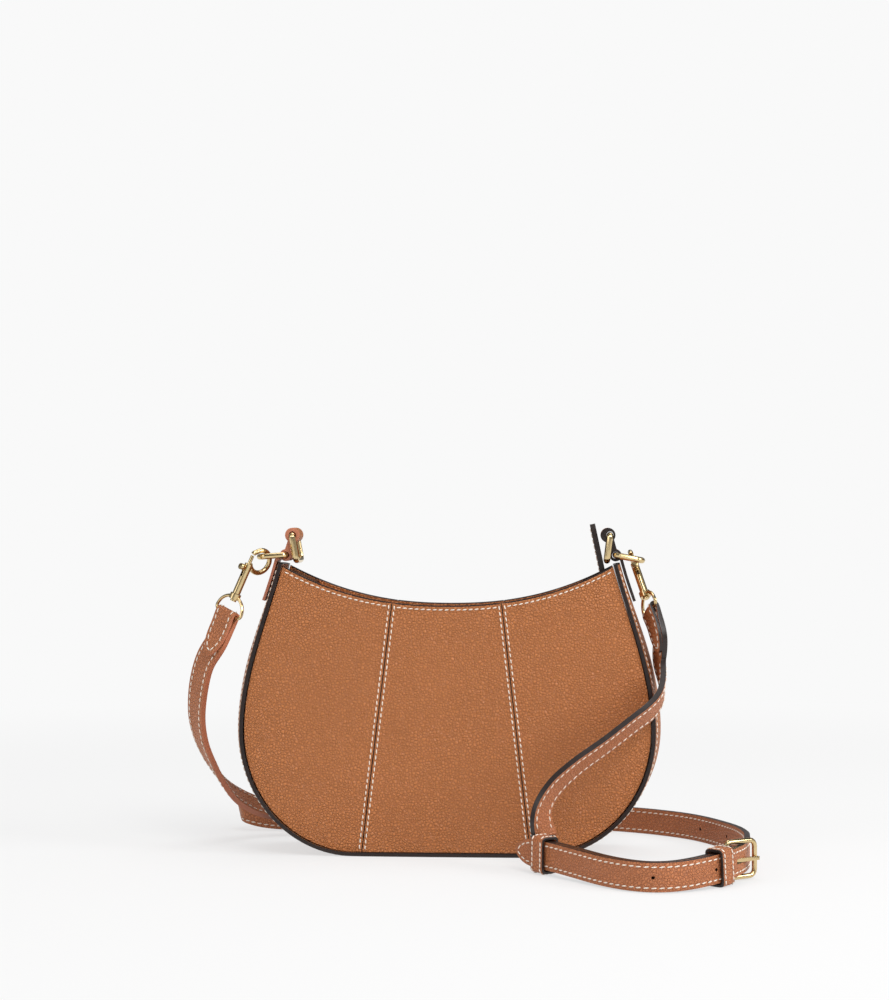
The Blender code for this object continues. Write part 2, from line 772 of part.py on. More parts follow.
def make_end_tab():
    """Leather tab over the zip's right end, standing up out of the mouth."""
    lean = Vector((-math.sin(END_TAB_LEAN), 0, math.cos(END_TAB_LEAN)))
    across = Vector((lean.z, 0, -lean.x))
    half = END_TAB_THICK / 2
    ring_bar = top_eyelet(1) + top_ring_down(1) * TOP_RING_DROP
    beside = ring_bar - across * (TOP_RING_WIRE + END_TAB_RING_GAP + half)
    top_height = TIP_HEIGHT + END_TAB_RISE
    top = beside + lean * (top_height - beside.z) / lean.z
    foot = top.copy()
    for _pass in range(8):
        foot_height = zip_height(foot.x) + TAPE_THICK / 2 + END_TAB_THICK / 4
        length = (top_height - foot_height) / lean.z
        foot = top - lean * length
    shape = bmesh.new()
    profile = []
    for share, width in ((0.0, 1.0), (0.85, 1.0), (0.95, 0.9), (1.0, 0.7)):
        profile.append((share * length, width * END_TAB_HALF_WIDTH))
    outline = [(up, -wide) for up, wide in profile] + [(up, wide) for up, wide in reversed(profile)]
    ring = [shape.verts.new(foot + lean * up + across * -half + Vector((0, y, 0))) for up, y in outline]
    face = shape.faces.new(ring)
    made = bmesh.ops.extrude_face_region(shape, geom=[face])
    moved = [item for item in made["geom"] if isinstance(item, bmesh.types.BMVert)]
    bmesh.ops.translate(shape, vec=across * 2 * half, verts=moved)
    bmesh.ops.recalc_face_normals(shape, faces=shape.faces)
    piece_from("zip_end_tab", shape, LEATHER)
    set_origin("zip_end_tab", foot - across * half)


def top_eyelet(side):
    """Where the upper ring turns."""
    inset = TOP_EYELET_INSETS[(side + 1) // 2]
    return Vector((side * (TIP_HALF - inset), 0, TIP_HEIGHT + TOP_EYELET_RISE))


def side_eyelet(side):
    """Where the outer ring turns."""
    inset = SIDE_EYELET_INSETS[(side + 1) // 2]
    return Vector((side * (TIP_HALF - inset), 0, TIP_HEIGHT + SIDE_EYELET_RISE))


def top_ring_down(side):
    """The way the upper ring hangs from its eyelet."""
    lean = TOP_RING_LEANS[(side + 1) // 2]
    return Vector((-side * math.sin(lean), 0, -math.cos(lean)))


def capsule(name, start, end, thickness, half_width):
    """A straight length of folded leather in the front view, as wide as the tab."""
    along = (end - start).normalized()
    out = Vector((along.z, 0, -along.x)) * thickness / 2
    shape = bmesh.new()
    corners = (start - out, end - out, end + out, start + out)
    low = [shape.verts.new(corner - Vector((0, half_width, 0))) for corner in corners]
    face = shape.faces.new(low)
    made = bmesh.ops.extrude_face_region(shape, geom=[face])
    moved = [item for item in made["geom"] if isinstance(item, bmesh.types.BMVert)]
    bmesh.ops.translate(shape, vec=(0, 2 * half_width, 0), verts=moved)
    bmesh.ops.recalc_face_normals(shape, faces=shape.faces)
    return piece_from(name, shape)


def make_tab(side, label):
    """Folded leather tab sewn outside the gusset, with an eyelet for each ring."""
    name = f"ring_tab_{label}"
    half = TAB_HALF_WIDTH
    top = top_eyelet(side)
    low = side_eyelet(side)
    high = top - Vector((side * TOP_ROLL_SHIFTS[(side + 1) // 2], 0, 0))
    tab = rod(name, high - Vector((0, half, 0)), high + Vector((0, half, 0)), TOP_ROLL_RADIUS, LEATHER, 24)
    roll = rod("roll", low - Vector((0, half, 0)), low + Vector((0, half, 0)), SIDE_ROLL_RADIUS, None, 24)
    cut_or_join(tab, roll, "UNION")
    cut_or_join(tab, capsule("band", low, top, TAB_BAND_THICK, half - GAP / 3), "UNION")
    stand = 1.5 * GAP + TAB_PLATE_THICK / 2
    places = []
    for share in (0.0, 0.33, 0.67, 1.0):
        distance = OUTLINE_LENGTHS[-1] - TAB_PLATE_LENGTH * share
        point, along = point_along(OUTLINE, OUTLINE_LENGTHS, distance)
        out = Vector((along.y, -along.x))
        place = point + out * (bulge(point.y) + stand)
        place += along * max(0.0, GUSSET_THICK / 2 - share)
        places.append(Vector((side * place.x, 0, place.y)))
    lift = Vector((side * TAB_PLATE_THICK / 4, 0, 0))
    corners = [low + lift] + places
    for index, (start, end) in enumerate(zip(corners, corners[1:])):
        reach = (end - start).normalized() * GAP
        width = half - GAP * (index + 2) / 3
        cut_or_join(tab, capsule("plate", start - reach, end + reach, TAB_PLATE_THICK, width), "UNION")
    for centre, radius in ((top, TOP_RING_WIRE), (low, SIDE_RING_WIRE)):
        reach = Vector((0, half + CUT_OVERRUN, 0))
        cut_or_join(tab, rod("hole", centre - reach, centre + reach, radius + GAP, None, 24), "DIFFERENCE")


def rounded_loop(half_wide, near, far, corner, near_corner, arc_steps=5):
    """A rounded rectangle as (along, across): from near to far, plus and minus half_wide."""
    centres = (
        (far - corner, half_wide - corner, 0, corner),
        (near + near_corner, half_wide - near_corner, 1, near_corner),
        (near + near_corner, -half_wide + near_corner, 2, near_corner),
        (far - corner, -half_wide + corner, 3, corner),
    )
    points = []
    for along, across, quarter, corner in centres:
        for step in range(arc_steps):
            angle = math.pi / 2 * (quarter + step / (arc_steps - 1))
            points.append((along + corner * math.cos(angle), across + corner * math.sin(angle)))
    return points


def ring_arm(wire_radius):
    """Half the distance between the two arms of a ring that clears the tab."""
    return TAB_HALF_WIDTH + RING_SIDE_GAP + wire_radius


def side_ring_direction(side):
    """The way the side ring points from its eyelet: outwards, a little down."""
    droop = SIDE_RING_DROOPS[(side + 1) // 2]
    return Vector((side * math.cos(droop), 0, -math.sin(droop)))


def make_rings(side, label):
    """The upper ring hangs into the mouth, the side ring holds the hook."""
    top = top_eyelet(side)
    down = top_ring_down(side)
    corner = 1.4 * TOP_RING_WIRE
    loop = rounded_loop(ring_arm(TOP_RING_WIRE), 0.0, TOP_RING_DROP, corner, TOP_RING_WIRE)
    points = [top + down * along + Vector((0, across, 0)) for along, across in loop]
    ring = wire(f"top_ring_{label}", points, TOP_RING_WIRE, True, BRASS)

    low = side_eyelet(side)
    loop = rounded_loop(ring_arm(SIDE_RING_WIRE), 0.0, SIDE_RING_REACH, RING_CORNER, SIDE_RING_WIRE)
    outward = side_ring_direction(side)
    points = [low + outward * along + Vector((0, across, 0)) for along, across in loop]
    ring = wire(f"side_ring_{label}", points, SIDE_RING_WIRE, True, BRASS)


class Hook:
    """Frame of a swivel hook: up runs from the eye to the claw, out from the barrel to the claw."""

    def __init__(self, side, label, corner_angle, far, facing, up, strap_across, strap_down):
        self.side = side
        self.label = label
        self.up = Vector(up).normalized()
        along = SIDE_RING_REACH - RING_CORNER + RING_CORNER * math.cos(corner_angle)
        along -= GRIP_BACKS[(side + 1) // 2]
        wide = ring_arm(SIDE_RING_WIRE) - RING_CORNER + RING_CORNER * math.sin(corner_angle)
        grip = side_eyelet(side) + side_ring_direction(side) * along + Vector((0, far * wide, 0))
        out = Vector((-side * math.cos(corner_angle), -far * math.sin(corner_angle), 0)) * facing
        self.out = (out - self.up * out.dot(self.up)).normalized()
        self.across = self.up.cross(self.out)
        play = CLAW_RADIUS - CLAW_WIRE - SIDE_RING_WIRE - 2 * LAYER_GAP
        load = (self.up * self.up.z + self.out * self.out.z).normalized()
        self.claw = grip - load * play
        self.strap_across = Vector(strap_across)
        self.strap_across -= self.up * self.strap_across.dot(self.up)
        self.strap_across.normalize()
        self.strap_down = Vector(strap_down)
        self.strap_down -= self.strap_across * self.strap_down.dot(self.strap_across)
        self.strap_down.normalize()

    def at(self, up, out=0.0, across=0.0):
        """A point of the hook's frame, measured from the claw's centre."""
        return self.claw + self.up * up + self.out * out + self.across * across

    def on_axis(self, up):
        """A point on the barrel's axis."""
        return self.at(up, -CLAW_RADIUS)


BARREL_FOOT = -BARREL_TOP - BARREL_LENGTH
HUB_TOP = BARREL_FOOT - GAP
EYE_TOP = HUB_TOP - HUB_LENGTH / 2
EYE_FOOT = EYE_TOP - EYE_HEIGHT


def make_hook(hook):
    """Claw, barrel and swivel pin in one casting; bolt, spring and eye are separate."""
    steps = 26
    arc = []
    for step in range(steps + 1):
        angle = CLAW_START + (CLAW_END - CLAW_START) * step / steps
        arc.append(hook.at(CLAW_RADIUS * math.sin(angle), CLAW_RADIUS * math.cos(angle)))
    drop, reach = CLAW_NOSE_SHARES
    arc.append(hook.at(BOLT_TIP + CLAW_WIRE * drop, -CLAW_RADIUS * reach))
    arc.append(hook.on_axis(BOLT_TIP + 3 * GAP))
    body = wire(f"hook_{hook.label}", arc, CLAW_WIRE, False, BRASS, 12)
    foot = hook.on_axis(BARREL_FOOT)
    barrel = rod("barrel", hook.on_axis(-BARREL_TOP), foot, BARREL_RADIUS, None, 20)
    cut_or_join(body, barrel, "UNION")
    pin_end = BARREL_FOOT - HUB_LENGTH - 2 * GAP
    pin = rod("pin", hook.on_axis(BARREL_FOOT + GAP), hook.on_axis(pin_end - GAP), PIN_RADIUS, None, 12)
    cut_or_join(body, pin, "UNION")
    head = rod("head", hook.on_axis(pin_end), hook.on_axis(pin_end - PIN_HEAD_LENGTH), PIN_HEAD_RADIUS, None, 14)
    cut_or_join(body, head, "UNION")
    bore = rod(
        "bore", hook.on_axis(-BARREL_TOP + CUT_OVERRUN), hook.on_axis(BARREL_FOOT + BORE_FLOOR), BORE_RADIUS, None, 16
    )
    cut_or_join(body, bore, "DIFFERENCE")
    slot_high = -STEM_PLACE + STEM_RADIUS + 2 * GAP
    slot_low = -STEM_PLACE - BOLT_TRAVEL - STEM_RADIUS - 2 * GAP
    slot = oriented_box(
        "slot",
        hook,
        (slot_low, slot_high),
        (-CLAW_RADIUS - BARREL_RADIUS - CUT_OVERRUN, -CLAW_RADIUS),
        (-SLOT_HALF_WIDTH, SLOT_HALF_WIDTH),
    )
    cut_or_join(body, slot, "DIFFERENCE")

    bolt = rod(
        f"hook_bolt_{hook.label}", hook.on_axis(BOLT_TIP), hook.on_axis(-BOLT_TAIL), BOLT_RADIUS, BRASS, 14
    )
    knob_root = -CLAW_RADIUS - KNOB_STAND
    stem = rod(
        "stem", hook.at(-STEM_PLACE, -CLAW_RADIUS), hook.at(-STEM_PLACE, knob_root - GAP), STEM_RADIUS, None, 10
    )
    cut_or_join(bolt, stem, "UNION")
    knob = rod(
        "knob", hook.at(-STEM_PLACE, knob_root), hook.at(-STEM_PLACE, knob_root - KNOB_LENGTH), KNOB_RADIUS, None, 16
    )
    cut_or_join(bolt, knob, "UNION")

    low = BARREL_FOOT + BORE_FLOOR + GAP + SPRING_WIRE
    high = -BOLT_TAIL - GAP - SPRING_WIRE
    coil = []
    per_turn = 7
    for step in range(SPRING_TURNS * per_turn + 1):
        angle = 2 * math.pi * step / per_turn
        rise = low + (high - low) * step / (SPRING_TURNS * per_turn)
        out = -CLAW_RADIUS + SPRING_RADIUS * math.cos(angle)
        coil.append(hook.at(rise, out, SPRING_RADIUS * math.sin(angle)))
    wire(f"hook_spring_{hook.label}", coil, SPRING_WIRE, False, STEEL, 6)

    loop = []
    for step in range(13):
        angle = math.pi * step / 12
        loop.append((EYE_TOP - EYE_ARCH * (1 - math.sin(angle)), EYE_HALF_WIDTH * math.cos(angle)))
    for quarter, wide in ((2, -1), (3, 1)):
        for step in range(4):
            angle = math.pi / 2 * (quarter + step / 3)
            along = EYE_FOOT + EYE_CORNER + EYE_CORNER * math.sin(angle)
            across = wide * (EYE_HALF_WIDTH - EYE_CORNER) + EYE_CORNER * math.cos(angle)
            loop.append((along, across))
    points = [hook.on_axis(along) + hook.strap_across * across for along, across in loop]
    eye = wire(f"hook_eye_{hook.label}", points, EYE_WIRE, True, BRASS)
    hub = rod("hub", hook.on_axis(HUB_TOP), hook.on_axis(HUB_TOP - HUB_LENGTH), HUB_RADIUS, None, 18)
    cut_or_join(eye, hub, "UNION")
    bore = rod(
        "bore",
        hook.on_axis(HUB_TOP + CUT_OVERRUN),
        hook.on_axis(HUB_TOP - HUB_LENGTH - CUT_OVERRUN),
        HUB_BORE,
        None,
        14,
    )
    cut_or_join(eye, bore, "DIFFERENCE")


def oriented_box(name, hook, ups, outs, acrosses):
    """A box in the hook's frame."""
    shape = bmesh.new()
    bmesh.ops.create_cube(shape, size=1)
    spans = Vector((ups[1] - ups[0], outs[1] - outs[0], acrosses[1] - acrosses[0]))
    bmesh.ops.scale(shape, vec=spans, verts=shape.verts)
    centre = hook.at(sum(ups) / 2, sum(outs) / 2, sum(acrosses) / 2)
    axes = Matrix((hook.up, hook.out, hook.across)).transposed().to_4x4()
    bmesh.ops.transform(shape, matrix=Matrix.Translation(centre) @ axes, verts=shape.verts)
    bmesh.ops.recalc_face_normals(shape, faces=shape.faces)
    return piece_from(name, shape)


def catmull(values, share):
    """A smooth curve through four neighbouring values, between the middle two."""
    before, start, end, after = values
    return 0.5 * (
        2 * start
        + (end - before) * share
        + (2 * before - 5 * start + 4 * end - after) * share**2
        + (3 * start - before - 3 * end + after) * share**3
    )


def smooth_route(stations, spacing):
    """Stations are (place, across, thickness); returns closer ones on a smooth curve."""
    route = []
    for index in range(len(stations) - 1):
        window = [stations[min(max(index + k, 0), len(stations) - 1)] for k in (-1, 0, 1, 2)]
        length = (window[2][0] - window[1][0]).length
        steps = max(1, round(length / spacing))
        for step in range(steps):
            share = step / steps
            place = catmull([station[0] for station in window], share)
            across = window[1][1].lerp(window[2][1], share)
            thickness = window[1][2] + (window[2][2] - window[1][2]) * share
            route.append((place, across, thickness))
    route.append(stations[-1])
    return route


def framed(route):
    """Each station of a route with its direction, across and face normal, all at right angles."""
    frames = []
    for index, (place, across, thickness) in enumerate(route):
        before = route[max(index - 1, 0)][0]
        after = route[min(index + 1, len(route) - 1)][0]
        along = (after - before).normalized()
        across = (across - along * across.dot(along)).normalized()
        frames.append((place, along, across, along.cross(across), thickness))
    return frames


def tip_share(run):
    """How much of the strap's width is left at a distance from its tip."""
    return TIP_BLUNT_SHARE + (1 - TIP_BLUNT_SHARE) * (run / TIP_LENGTH) ** TIP_POWER


def ribbon(name, frames, finish, pointed_start=False, pointed_end=False):
    """A flat strap along framed stations, with pointed or square ends."""
    shape = bmesh.new()
    loops = []
    total = measured([frame[0] for frame in frames])
    for (place, _along, across, normal, thickness), run in zip(frames, total):
        half = STRAP_WIDTH / 2
        if pointed_start and run < TIP_LENGTH:
            half *= tip_share(run)
        if pointed_end and total[-1] - run < TIP_LENGTH:
            half *= tip_share(total[-1] - run)
        reach, depth = across * half, normal * thickness / 2
        corners = (place - reach - depth, place + reach - depth, place + reach + depth, place - reach + depth)
        loops.append([shape.verts.new(corner) for corner in corners])
    for first, second in zip(loops, loops[1:]):
        for index in range(4):
            following = (index + 1) % 4
            shape.faces.new((first[index], first[following], second[following], second[index]))
    shape.faces.new(loops[0])
    shape.faces.new(loops[-1])
    bmesh.ops.recalc_face_normals(shape, faces=shape.faces)
    return piece_from(name, shape, finish)


def fold_round(hook, outer_side):
    """Stations of a strap end folded over the eye's straight bar, tip first.

    outer_side is the face normal's side on which the sewn tip lies."""
    centre = hook.on_axis(EYE_FOOT)
    down = hook.strap_down
    outer = outer_side
    bend = EYE_WIRE + LAYER_GAP + FOLD_THICK / 2
    tip_offset = LAYER_GAP / 2 + FOLD_THICK / 2
    body_offset = -LAYER_GAP / 2 - STRAP_THICK / 2
    across = hook.strap_across
    stations = []
    for share in (1.0, 0.95, 0.88, 0.78, 0.65, 0.45, 0.3):
        place = centre + down * FOLD_LENGTH * share + outer * tip_offset
        stations.append((place, across, FOLD_THICK))
    for step in range(7):
        angle = math.pi * step / 6
        place = centre + outer * bend * math.cos(angle) - down * bend * math.sin(angle)
        stations.append((place, across, FOLD_THICK))
    for share, thick_share in ((0.3, 0.9), (0.45, 1.0), (0.65, 1.0)):
        thickness = FOLD_THICK + (STRAP_THICK - FOLD_THICK) * thick_share
        offset = -LAYER_GAP / 2 - thickness / 2
        stations.append((centre + down * FOLD_LENGTH * share + outer * offset, across, thickness))
    return stations, body_offset


def stations_from_shares(shares, thickness=STRAP_THICK):
    """Rows of (x, y, z, across) in shares of the bag's half width, half depth and belly height."""
    scale = (HALF_WIDTH, BASE_HALF_DEPTH, STRAP_WIDTH)
    rows = []
    for x, y, z, across in shares:
        place = Vector((x * scale[0], y * scale[1], z * scale[2]))
        rows.append((place, Vector(across), thickness))
    return rows


# Routes, in shares of half width, half base depth and strap width
LEFT_HANG_SHARES = (
    (-1.189, -0.23, 7.30, (0.72, -0.68, -0.10)),
    (-1.222, -0.10, 6.51, (0.70, -0.71, 0.0)),
    (-1.243, 0.07, 5.71, (0.66, -0.75, 0.0)),
    (-1.251, 0.23, 4.90, (0.60, -0.80, 0.0)),
    (-1.239, 0.43, 4.08, (0.52, -0.85, -0.05)),
    (-1.206, 0.67, 3.25, (0.47, -0.87, -0.12)),
    (-1.156, 0.97, 2.39, (0.35, -0.90, -0.25)),
    (-1.094, 1.28, 1.72, (0.20, -0.88, -0.42)),
    (-0.990, 1.68, 1.16, (0.08, -0.86, -0.50)),
    (-0.857, 1.88, 0.95, (0.0, -0.80, -0.60)),
    (-0.694, 1.97, 0.76, (0.0, -0.60, -0.80)),
    (-0.506, 2.00, 0.62, (0.0, -0.30, -0.95)),
    (-0.286, 2.00, 0.53, (0.0, 0.0, -1.0)),
    (0.10, 2.00, 0.52, (0.0, 0.0, -1.0)),
    (0.49, 2.00, 0.52, (0.0, 0.0, -1.0)),
    (0.580, 2.02, 0.52, (0.0, 0.0, -1.0)),
    (0.634, 2.14, 0.52, (0.0, 0.0, -1.0)),
    (0.652, 2.30, 0.52, (0.0, 0.0, -1.0)),
    (0.634, 2.46, 0.52, (0.0, 0.0, -1.0)),
    (0.580, 2.58, 0.52, (0.0, 0.0, -1.0)),
    (0.49, 2.60, 0.52, (0.0, 0.0, -1.0)),
    (0.0, 2.55, 0.52, (0.0, 0.0, -1.0)),
    (-0.49, 2.50, 0.52, (0.0, 0.0, -1.0)),
    (-0.90, 2.50, 0.54, (0.0, 0.0, -1.0)),
    (-1.04, 2.52, 0.68, (0.12, 0.0, -1.0)),
    (-1.112, 2.62, 0.83, (0.28, 0.05, -1.0)),
    (-1.140, 2.79, 0.90, (0.34, 0.0, -1.0)),
    (-1.112, 2.96, 0.83, (0.28, -0.05, -1.0)),
    (-1.04, 3.06, 0.68, (0.12, 0.0, -1.0)),
    (-0.90, 3.10, 0.54, (0.0, 0.0, -1.0)),
    (-0.41, 3.12, 0.52, (0.0, 0.0, -1.0)),
    (0.0, 3.12, 0.52, (0.0, 0.0, -1.0)),
    (0.41, 3.08, 0.52, (0.0, 0.0, -1.0)),
    (0.69, 2.94, 0.52, (0.0, 0.0, -1.0)),
    (0.88, 2.66, 0.52, (0.0, 0.0, -1.0)),
    (1.05, 2.22, 0.52, (0.0, 0.0, -1.0)),
    (1.20, 1.62, 0.52, (0.0, 0.0, -1.0)),
    (1.31, 0.83, 0.52, (0.0, 0.0, -1.0)),
    (1.39, -0.13, 0.55, (0.0, 0.0, -1.0)),
    (1.415, -1.07, 0.62, (0.0, 0.0, -1.0)),
    (1.410, -1.93, 0.72, (0.0, 0.0, -1.0)),
)
FRONT_RUN_SHARES = (
    (1.385, -2.93, 0.768, (0.0, 0.0, -1.0)),
    (1.330, -3.67, 0.76, (0.0, 0.0, -1.0)),
    (1.224, -4.27, 0.66, (0.0, 0.0, -1.0)),
    (1.082, -4.69, 0.56, (0.0, 0.0, -1.0)),
    (0.955, -4.81, 0.53, (0.0, 0.0, -1.0)),
    (0.845, -4.64, 0.54, (0.0, 0.0, -1.0)),
    (0.735, -4.25, 0.57, (0.0, 0.0, -1.0)),
    (0.630, -3.73, 0.63, (0.0, 0.0, -1.0)),
    (0.525, -3.20, 0.69, (0.0, 0.0, -1.0)),
    (0.430, -2.73, 0.725, (0.0, 0.0, -1.0)),
    (0.350, -2.35, 0.75, (0.0, 0.0, -1.0)),
)
RIGHT_HANG_SHARES = (
    (1.018, -0.447, 7.36, (0.28, -0.85, 0.42)),
    (1.033, -0.70, 6.74, (0.05, -0.93, 0.38)),
    (1.015, -1.07, 6.00, (-0.10, -0.88, 0.45)),
    (0.963, -1.28, 5.55, (-0.25, -0.85, 0.45)),
    (0.906, -1.43, 5.24, (-0.30, -0.85, 0.40)),
    (0.759, -1.73, 4.40, (-0.33, -0.87, 0.36)),
    (0.623, -2.00, 3.67, (-0.36, -0.85, 0.38)),
    (0.522, -2.20, 2.97, (-0.42, -0.82, 0.34)),
    (0.469, -2.33, 2.31, (-0.53, -0.82, 0.05)),
    (0.460, -2.39, 1.71, (-0.60, -0.68, -0.38)),
    (0.474, -2.34, 1.23, (-0.30, -0.34, -0.87)),
    (0.474, -2.42, 0.82, (-0.04, -0.04, -1.00)),
)
KEEPER_PLACE_SHARE = 0.885
FIXED_KEEPER_SHARE = 0.198
BAR_SHARE = 0.125
KEEPER_CLEAR_SHARE = 0.04
FOLD_CLEAR_SHARE = 0.07


def front_run_frames():
    """The outer layer of the front run, from the buckle side to the tip."""
    stations = stations_from_shares(FRONT_RUN_SHARES)
    return framed(smooth_route(stations, STRAP_WIDTH / 4))


def frame_at(frames, share):
    """The frame nearest to a share of a run's length."""
    lengths = measured([frame[0] for frame in frames])
    goal = lengths[-1] * share
    nearest = min(range(len(frames)), key=lambda index: abs(lengths[index] - goal))
    return frames[nearest]


def inner_side(frame):
    """The face normal that points to the inside of the front run's bend."""
    place, _along, _across, normal, _thickness = frame
    centre = Vector((0.95 * HALF_WIDTH, -3.0 * BASE_HALF_DEPTH, place.z))
    return normal if normal.dot(centre - place) > 0 else -normal


def make_straps(left, right):
    """The long holed strap and the short buckle strap, as one ribbon each."""
    run = front_run_frames()
    frame = buckle_frame_axes(run)

    fold, _offset = fold_round(left, outer_normal(left, Vector((-1, -1, 0))))
    hang = stations_from_shares(LEFT_HANG_SHARES)
    front = stations_from_shares(FRONT_RUN_SHARES)
    long_route = framed(smooth_route(fold + hang + front, STRAP_WIDTH / 2.6))
    strap = ribbon("strap_long", settled(long_route), LEATHER, True, True)
    lengths = measured([station[0] for station in long_route])
    bar_place = min(
        range(len(long_route)), key=lambda index: (long_route[index][0] - frame["crossing"]).length
    )
    for step in (-4, -3, -2, -1, 1, 2):
        goal = lengths[bar_place] + step * HOLE_PITCH
        index = min(range(len(lengths)), key=lambda k: abs(lengths[k] - goal))
        place, _along, _across, normal, thickness = long_route[index]
        reach = normal * thickness
        cut_or_join(strap, rod("hole", place - reach, place + reach, HOLE_RADIUS, None, 10), "DIFFERENCE")
    cut_or_join(strap, frame["swept_slot"]("prong_slot"), "DIFFERENCE")

    fold, _offset = fold_round(right, outer_normal(right, Vector((-1, 0, 0))))
    hang = stations_from_shares(RIGHT_HANG_SHARES)
    inner = []
    along_run = measured([item[0] for item in run])
    last = len(run) - 1
    shift = STRAP_THICK + LAYER_GAP
    for index in range(0, last, 2):
        station = run[last - index]
        place, _along, _across, _normal, thickness = station
        share = along_run[last - index] / along_run[-1]
        if share > KEEPER_PLACE_SHARE + KEEPER_CLEAR_SHARE or share < BAR_SHARE + FOLD_CLEAR_SHARE:
            continue
        inner.append((place + inner_side(station) * shift, Vector((0, 0, -1)), STRAP_THICK))
    end = frame["fold"]
    short_route = framed(smooth_route(fold + hang + inner + end, STRAP_WIDTH / 3))
    strap = ribbon("strap_short", settled(short_route), LEATHER, True, False)
    cut_or_join(strap, frame["fold_slot"], "DIFFERENCE")
    cut_or_join(strap, frame["swept_slot"]("fold_prong_slot"), "DIFFERENCE")
    return run, frame


def settled(frames):
    """Keep a strap's lower edge above the ground it lies on."""
    kept = []
    for place, along, across, normal, thickness in frames:
        low = abs(across.z) * STRAP_WIDTH / 2 + abs(normal.z) * thickness / 2
        lift = max(0.0, low + GAP - place.z)
        kept.append((place + Vector((0, 0, lift)), along, across, normal, thickness))
    return kept


def outer_normal(hook, towards):
    """The face normal of a hanging strap end on the side of a direction."""
    normal = hook.strap_down.cross(hook.strap_across).normalized()
    return normal if normal.dot(towards) > 0 else -normal


def buckle_frame_axes(run):
    """Places and guides of the buckle: bar, far bar, prong slot and the fold round the bar."""
    station = frame_at(run, BAR_SHARE)
    place, along, _across, _normal, _thickness = station
    run_length = measured([item[0] for item in run])[-1]
    inward = inner_side(station)
    back = -along
    back.z = 0
    back.normalize()
    bar_offset = STRAP_THICK / 2 + LAYER_GAP + FOLD_THICK + LAYER_GAP + FRAME_WIRE
    bar = place + inward * bar_offset
    out_offset = STRAP_THICK / 2 + LAYER_GAP + FRAME_WIRE
    swing = math.asin((bar_offset + out_offset) / FRAME_LENGTH)
    outward = -inward
    direction = (back * math.cos(swing) + outward * math.sin(swing)).normalized()
    up = Vector((0, 0, 1))
    side = up.cross(direction)
    if side.dot(outward) < 0:
        side = -side
    prong_line = side * (FRAME_WIRE + PRONG_THICK / 2 + LAYER_GAP)
    crossing = bar + back * (bar_offset / math.tan(swing))

    def slab(name, start, reach_near, reach_far, half_thick, half_tall):
        shape = bmesh.new()
        bmesh.ops.create_cube(shape, size=1)
        span = Vector((reach_far - reach_near, 2 * half_thick, 2 * half_tall))
        bmesh.ops.scale(shape, vec=span, verts=shape.verts)
        axes = Matrix((direction, side, up)).transposed().to_4x4()
        centre = start + direction * (reach_near + reach_far) / 2
        bmesh.ops.transform(shape, matrix=Matrix.Translation(centre) @ axes, verts=shape.verts)
        bmesh.ops.recalc_face_normals(shape, faces=shape.faces)
        return piece_from(name, shape)

    reach = FRAME_LENGTH + FRAME_WIRE * 0.4

    def swept_slot(name):
        """The room the prong needs on its way out, as one guide object."""
        swing_most = FRAME_SWING + PRONG_SWING
        steps = 7
        whole = None
        for step in range(steps + 1):
            turn = Matrix.Rotation(turn_sign * swing_most * step / steps, 4, "Z")
            part = slab(name, bar + prong_line, -GAP, reach + GAP, PRONG_THICK / 2 + GAP, PRONG_HALF_WIDTH + GAP)
            move = Matrix.Translation(bar) @ turn @ Matrix.Translation(-bar)
            part.data.transform(move)
            if whole is None:
                whole = part
            else:
                cut_or_join(whole, part, "UNION")
        return whole

    turn_sign = 1 if up.cross(direction).dot(outward) > 0 else -1
    fold_slot = slab(
        "fold_slot", bar, -PRONG_RING - 2 * GAP, PRONG_RING * 2, PRONG_RING + 3 * GAP, PRONG_HALF_WIDTH + GAP
    )
    bend = FRAME_WIRE + LAYER_GAP + FOLD_THICK / 2
    fold = []
    for distance, thickness in FOLD_MAIN_PLACES:
        beside = frame_at(run, BAR_SHARE + distance / run_length)
        offset = STRAP_THICK / 2 + LAYER_GAP + thickness / 2
        fold.append((beside[0] + inner_side(beside) * offset, -up, thickness))
    for step in range(7):
        angle = math.pi * step / 6
        spot = bar + outward * bend * math.cos(angle) + back * bend * math.sin(angle)
        fold.append((spot, -up, FOLD_THICK))
    for distance, share in FOLD_PLY_PLACES:
        fold.append((bar - back * distance + inward * bend * share, -up, FOLD_THICK))
    return {
        "bar": bar,
        "direction": direction,
        "side": side,
        "crossing": crossing,
        "swept_slot": swept_slot,
        "turn_sign": turn_sign,
        "reach": reach,
        "fold_slot": fold_slot,
        "fold": fold,
        "prong_line": prong_line,
        "slab": slab,
    }


def make_buckle(frame):
    """Brass frame with a bar, and the prong that turns on it."""
    bar, direction, side = frame["bar"], frame["direction"], frame["side"]
    up = Vector((0, 0, 1))
    loop = rounded_loop(FRAME_HALF_HEIGHT, 0.0, FRAME_LENGTH, FRAME_CORNER, FRAME_NEAR_CORNER)
    points = [bar + direction * along + up * across for along, across in loop]
    wire("buckle_frame", points, FRAME_WIRE, True, BRASS, 10)

    half = PRONG_HALF_WIDTH
    ring = rod("buckle_prong", bar - up * half, bar + up * half, PRONG_RING, BRASS, 20)
    line = frame["prong_line"]
    blade = frame["slab"]("blade", bar + line, 0.0, frame["reach"], PRONG_THICK / 2, half)
    cut_or_join(ring, blade, "UNION")
    cut_or_join(
        ring, rod("hole", bar - up * 2 * half, bar + up * 2 * half, FRAME_WIRE + GAP, None, 20), "DIFFERENCE"
    )


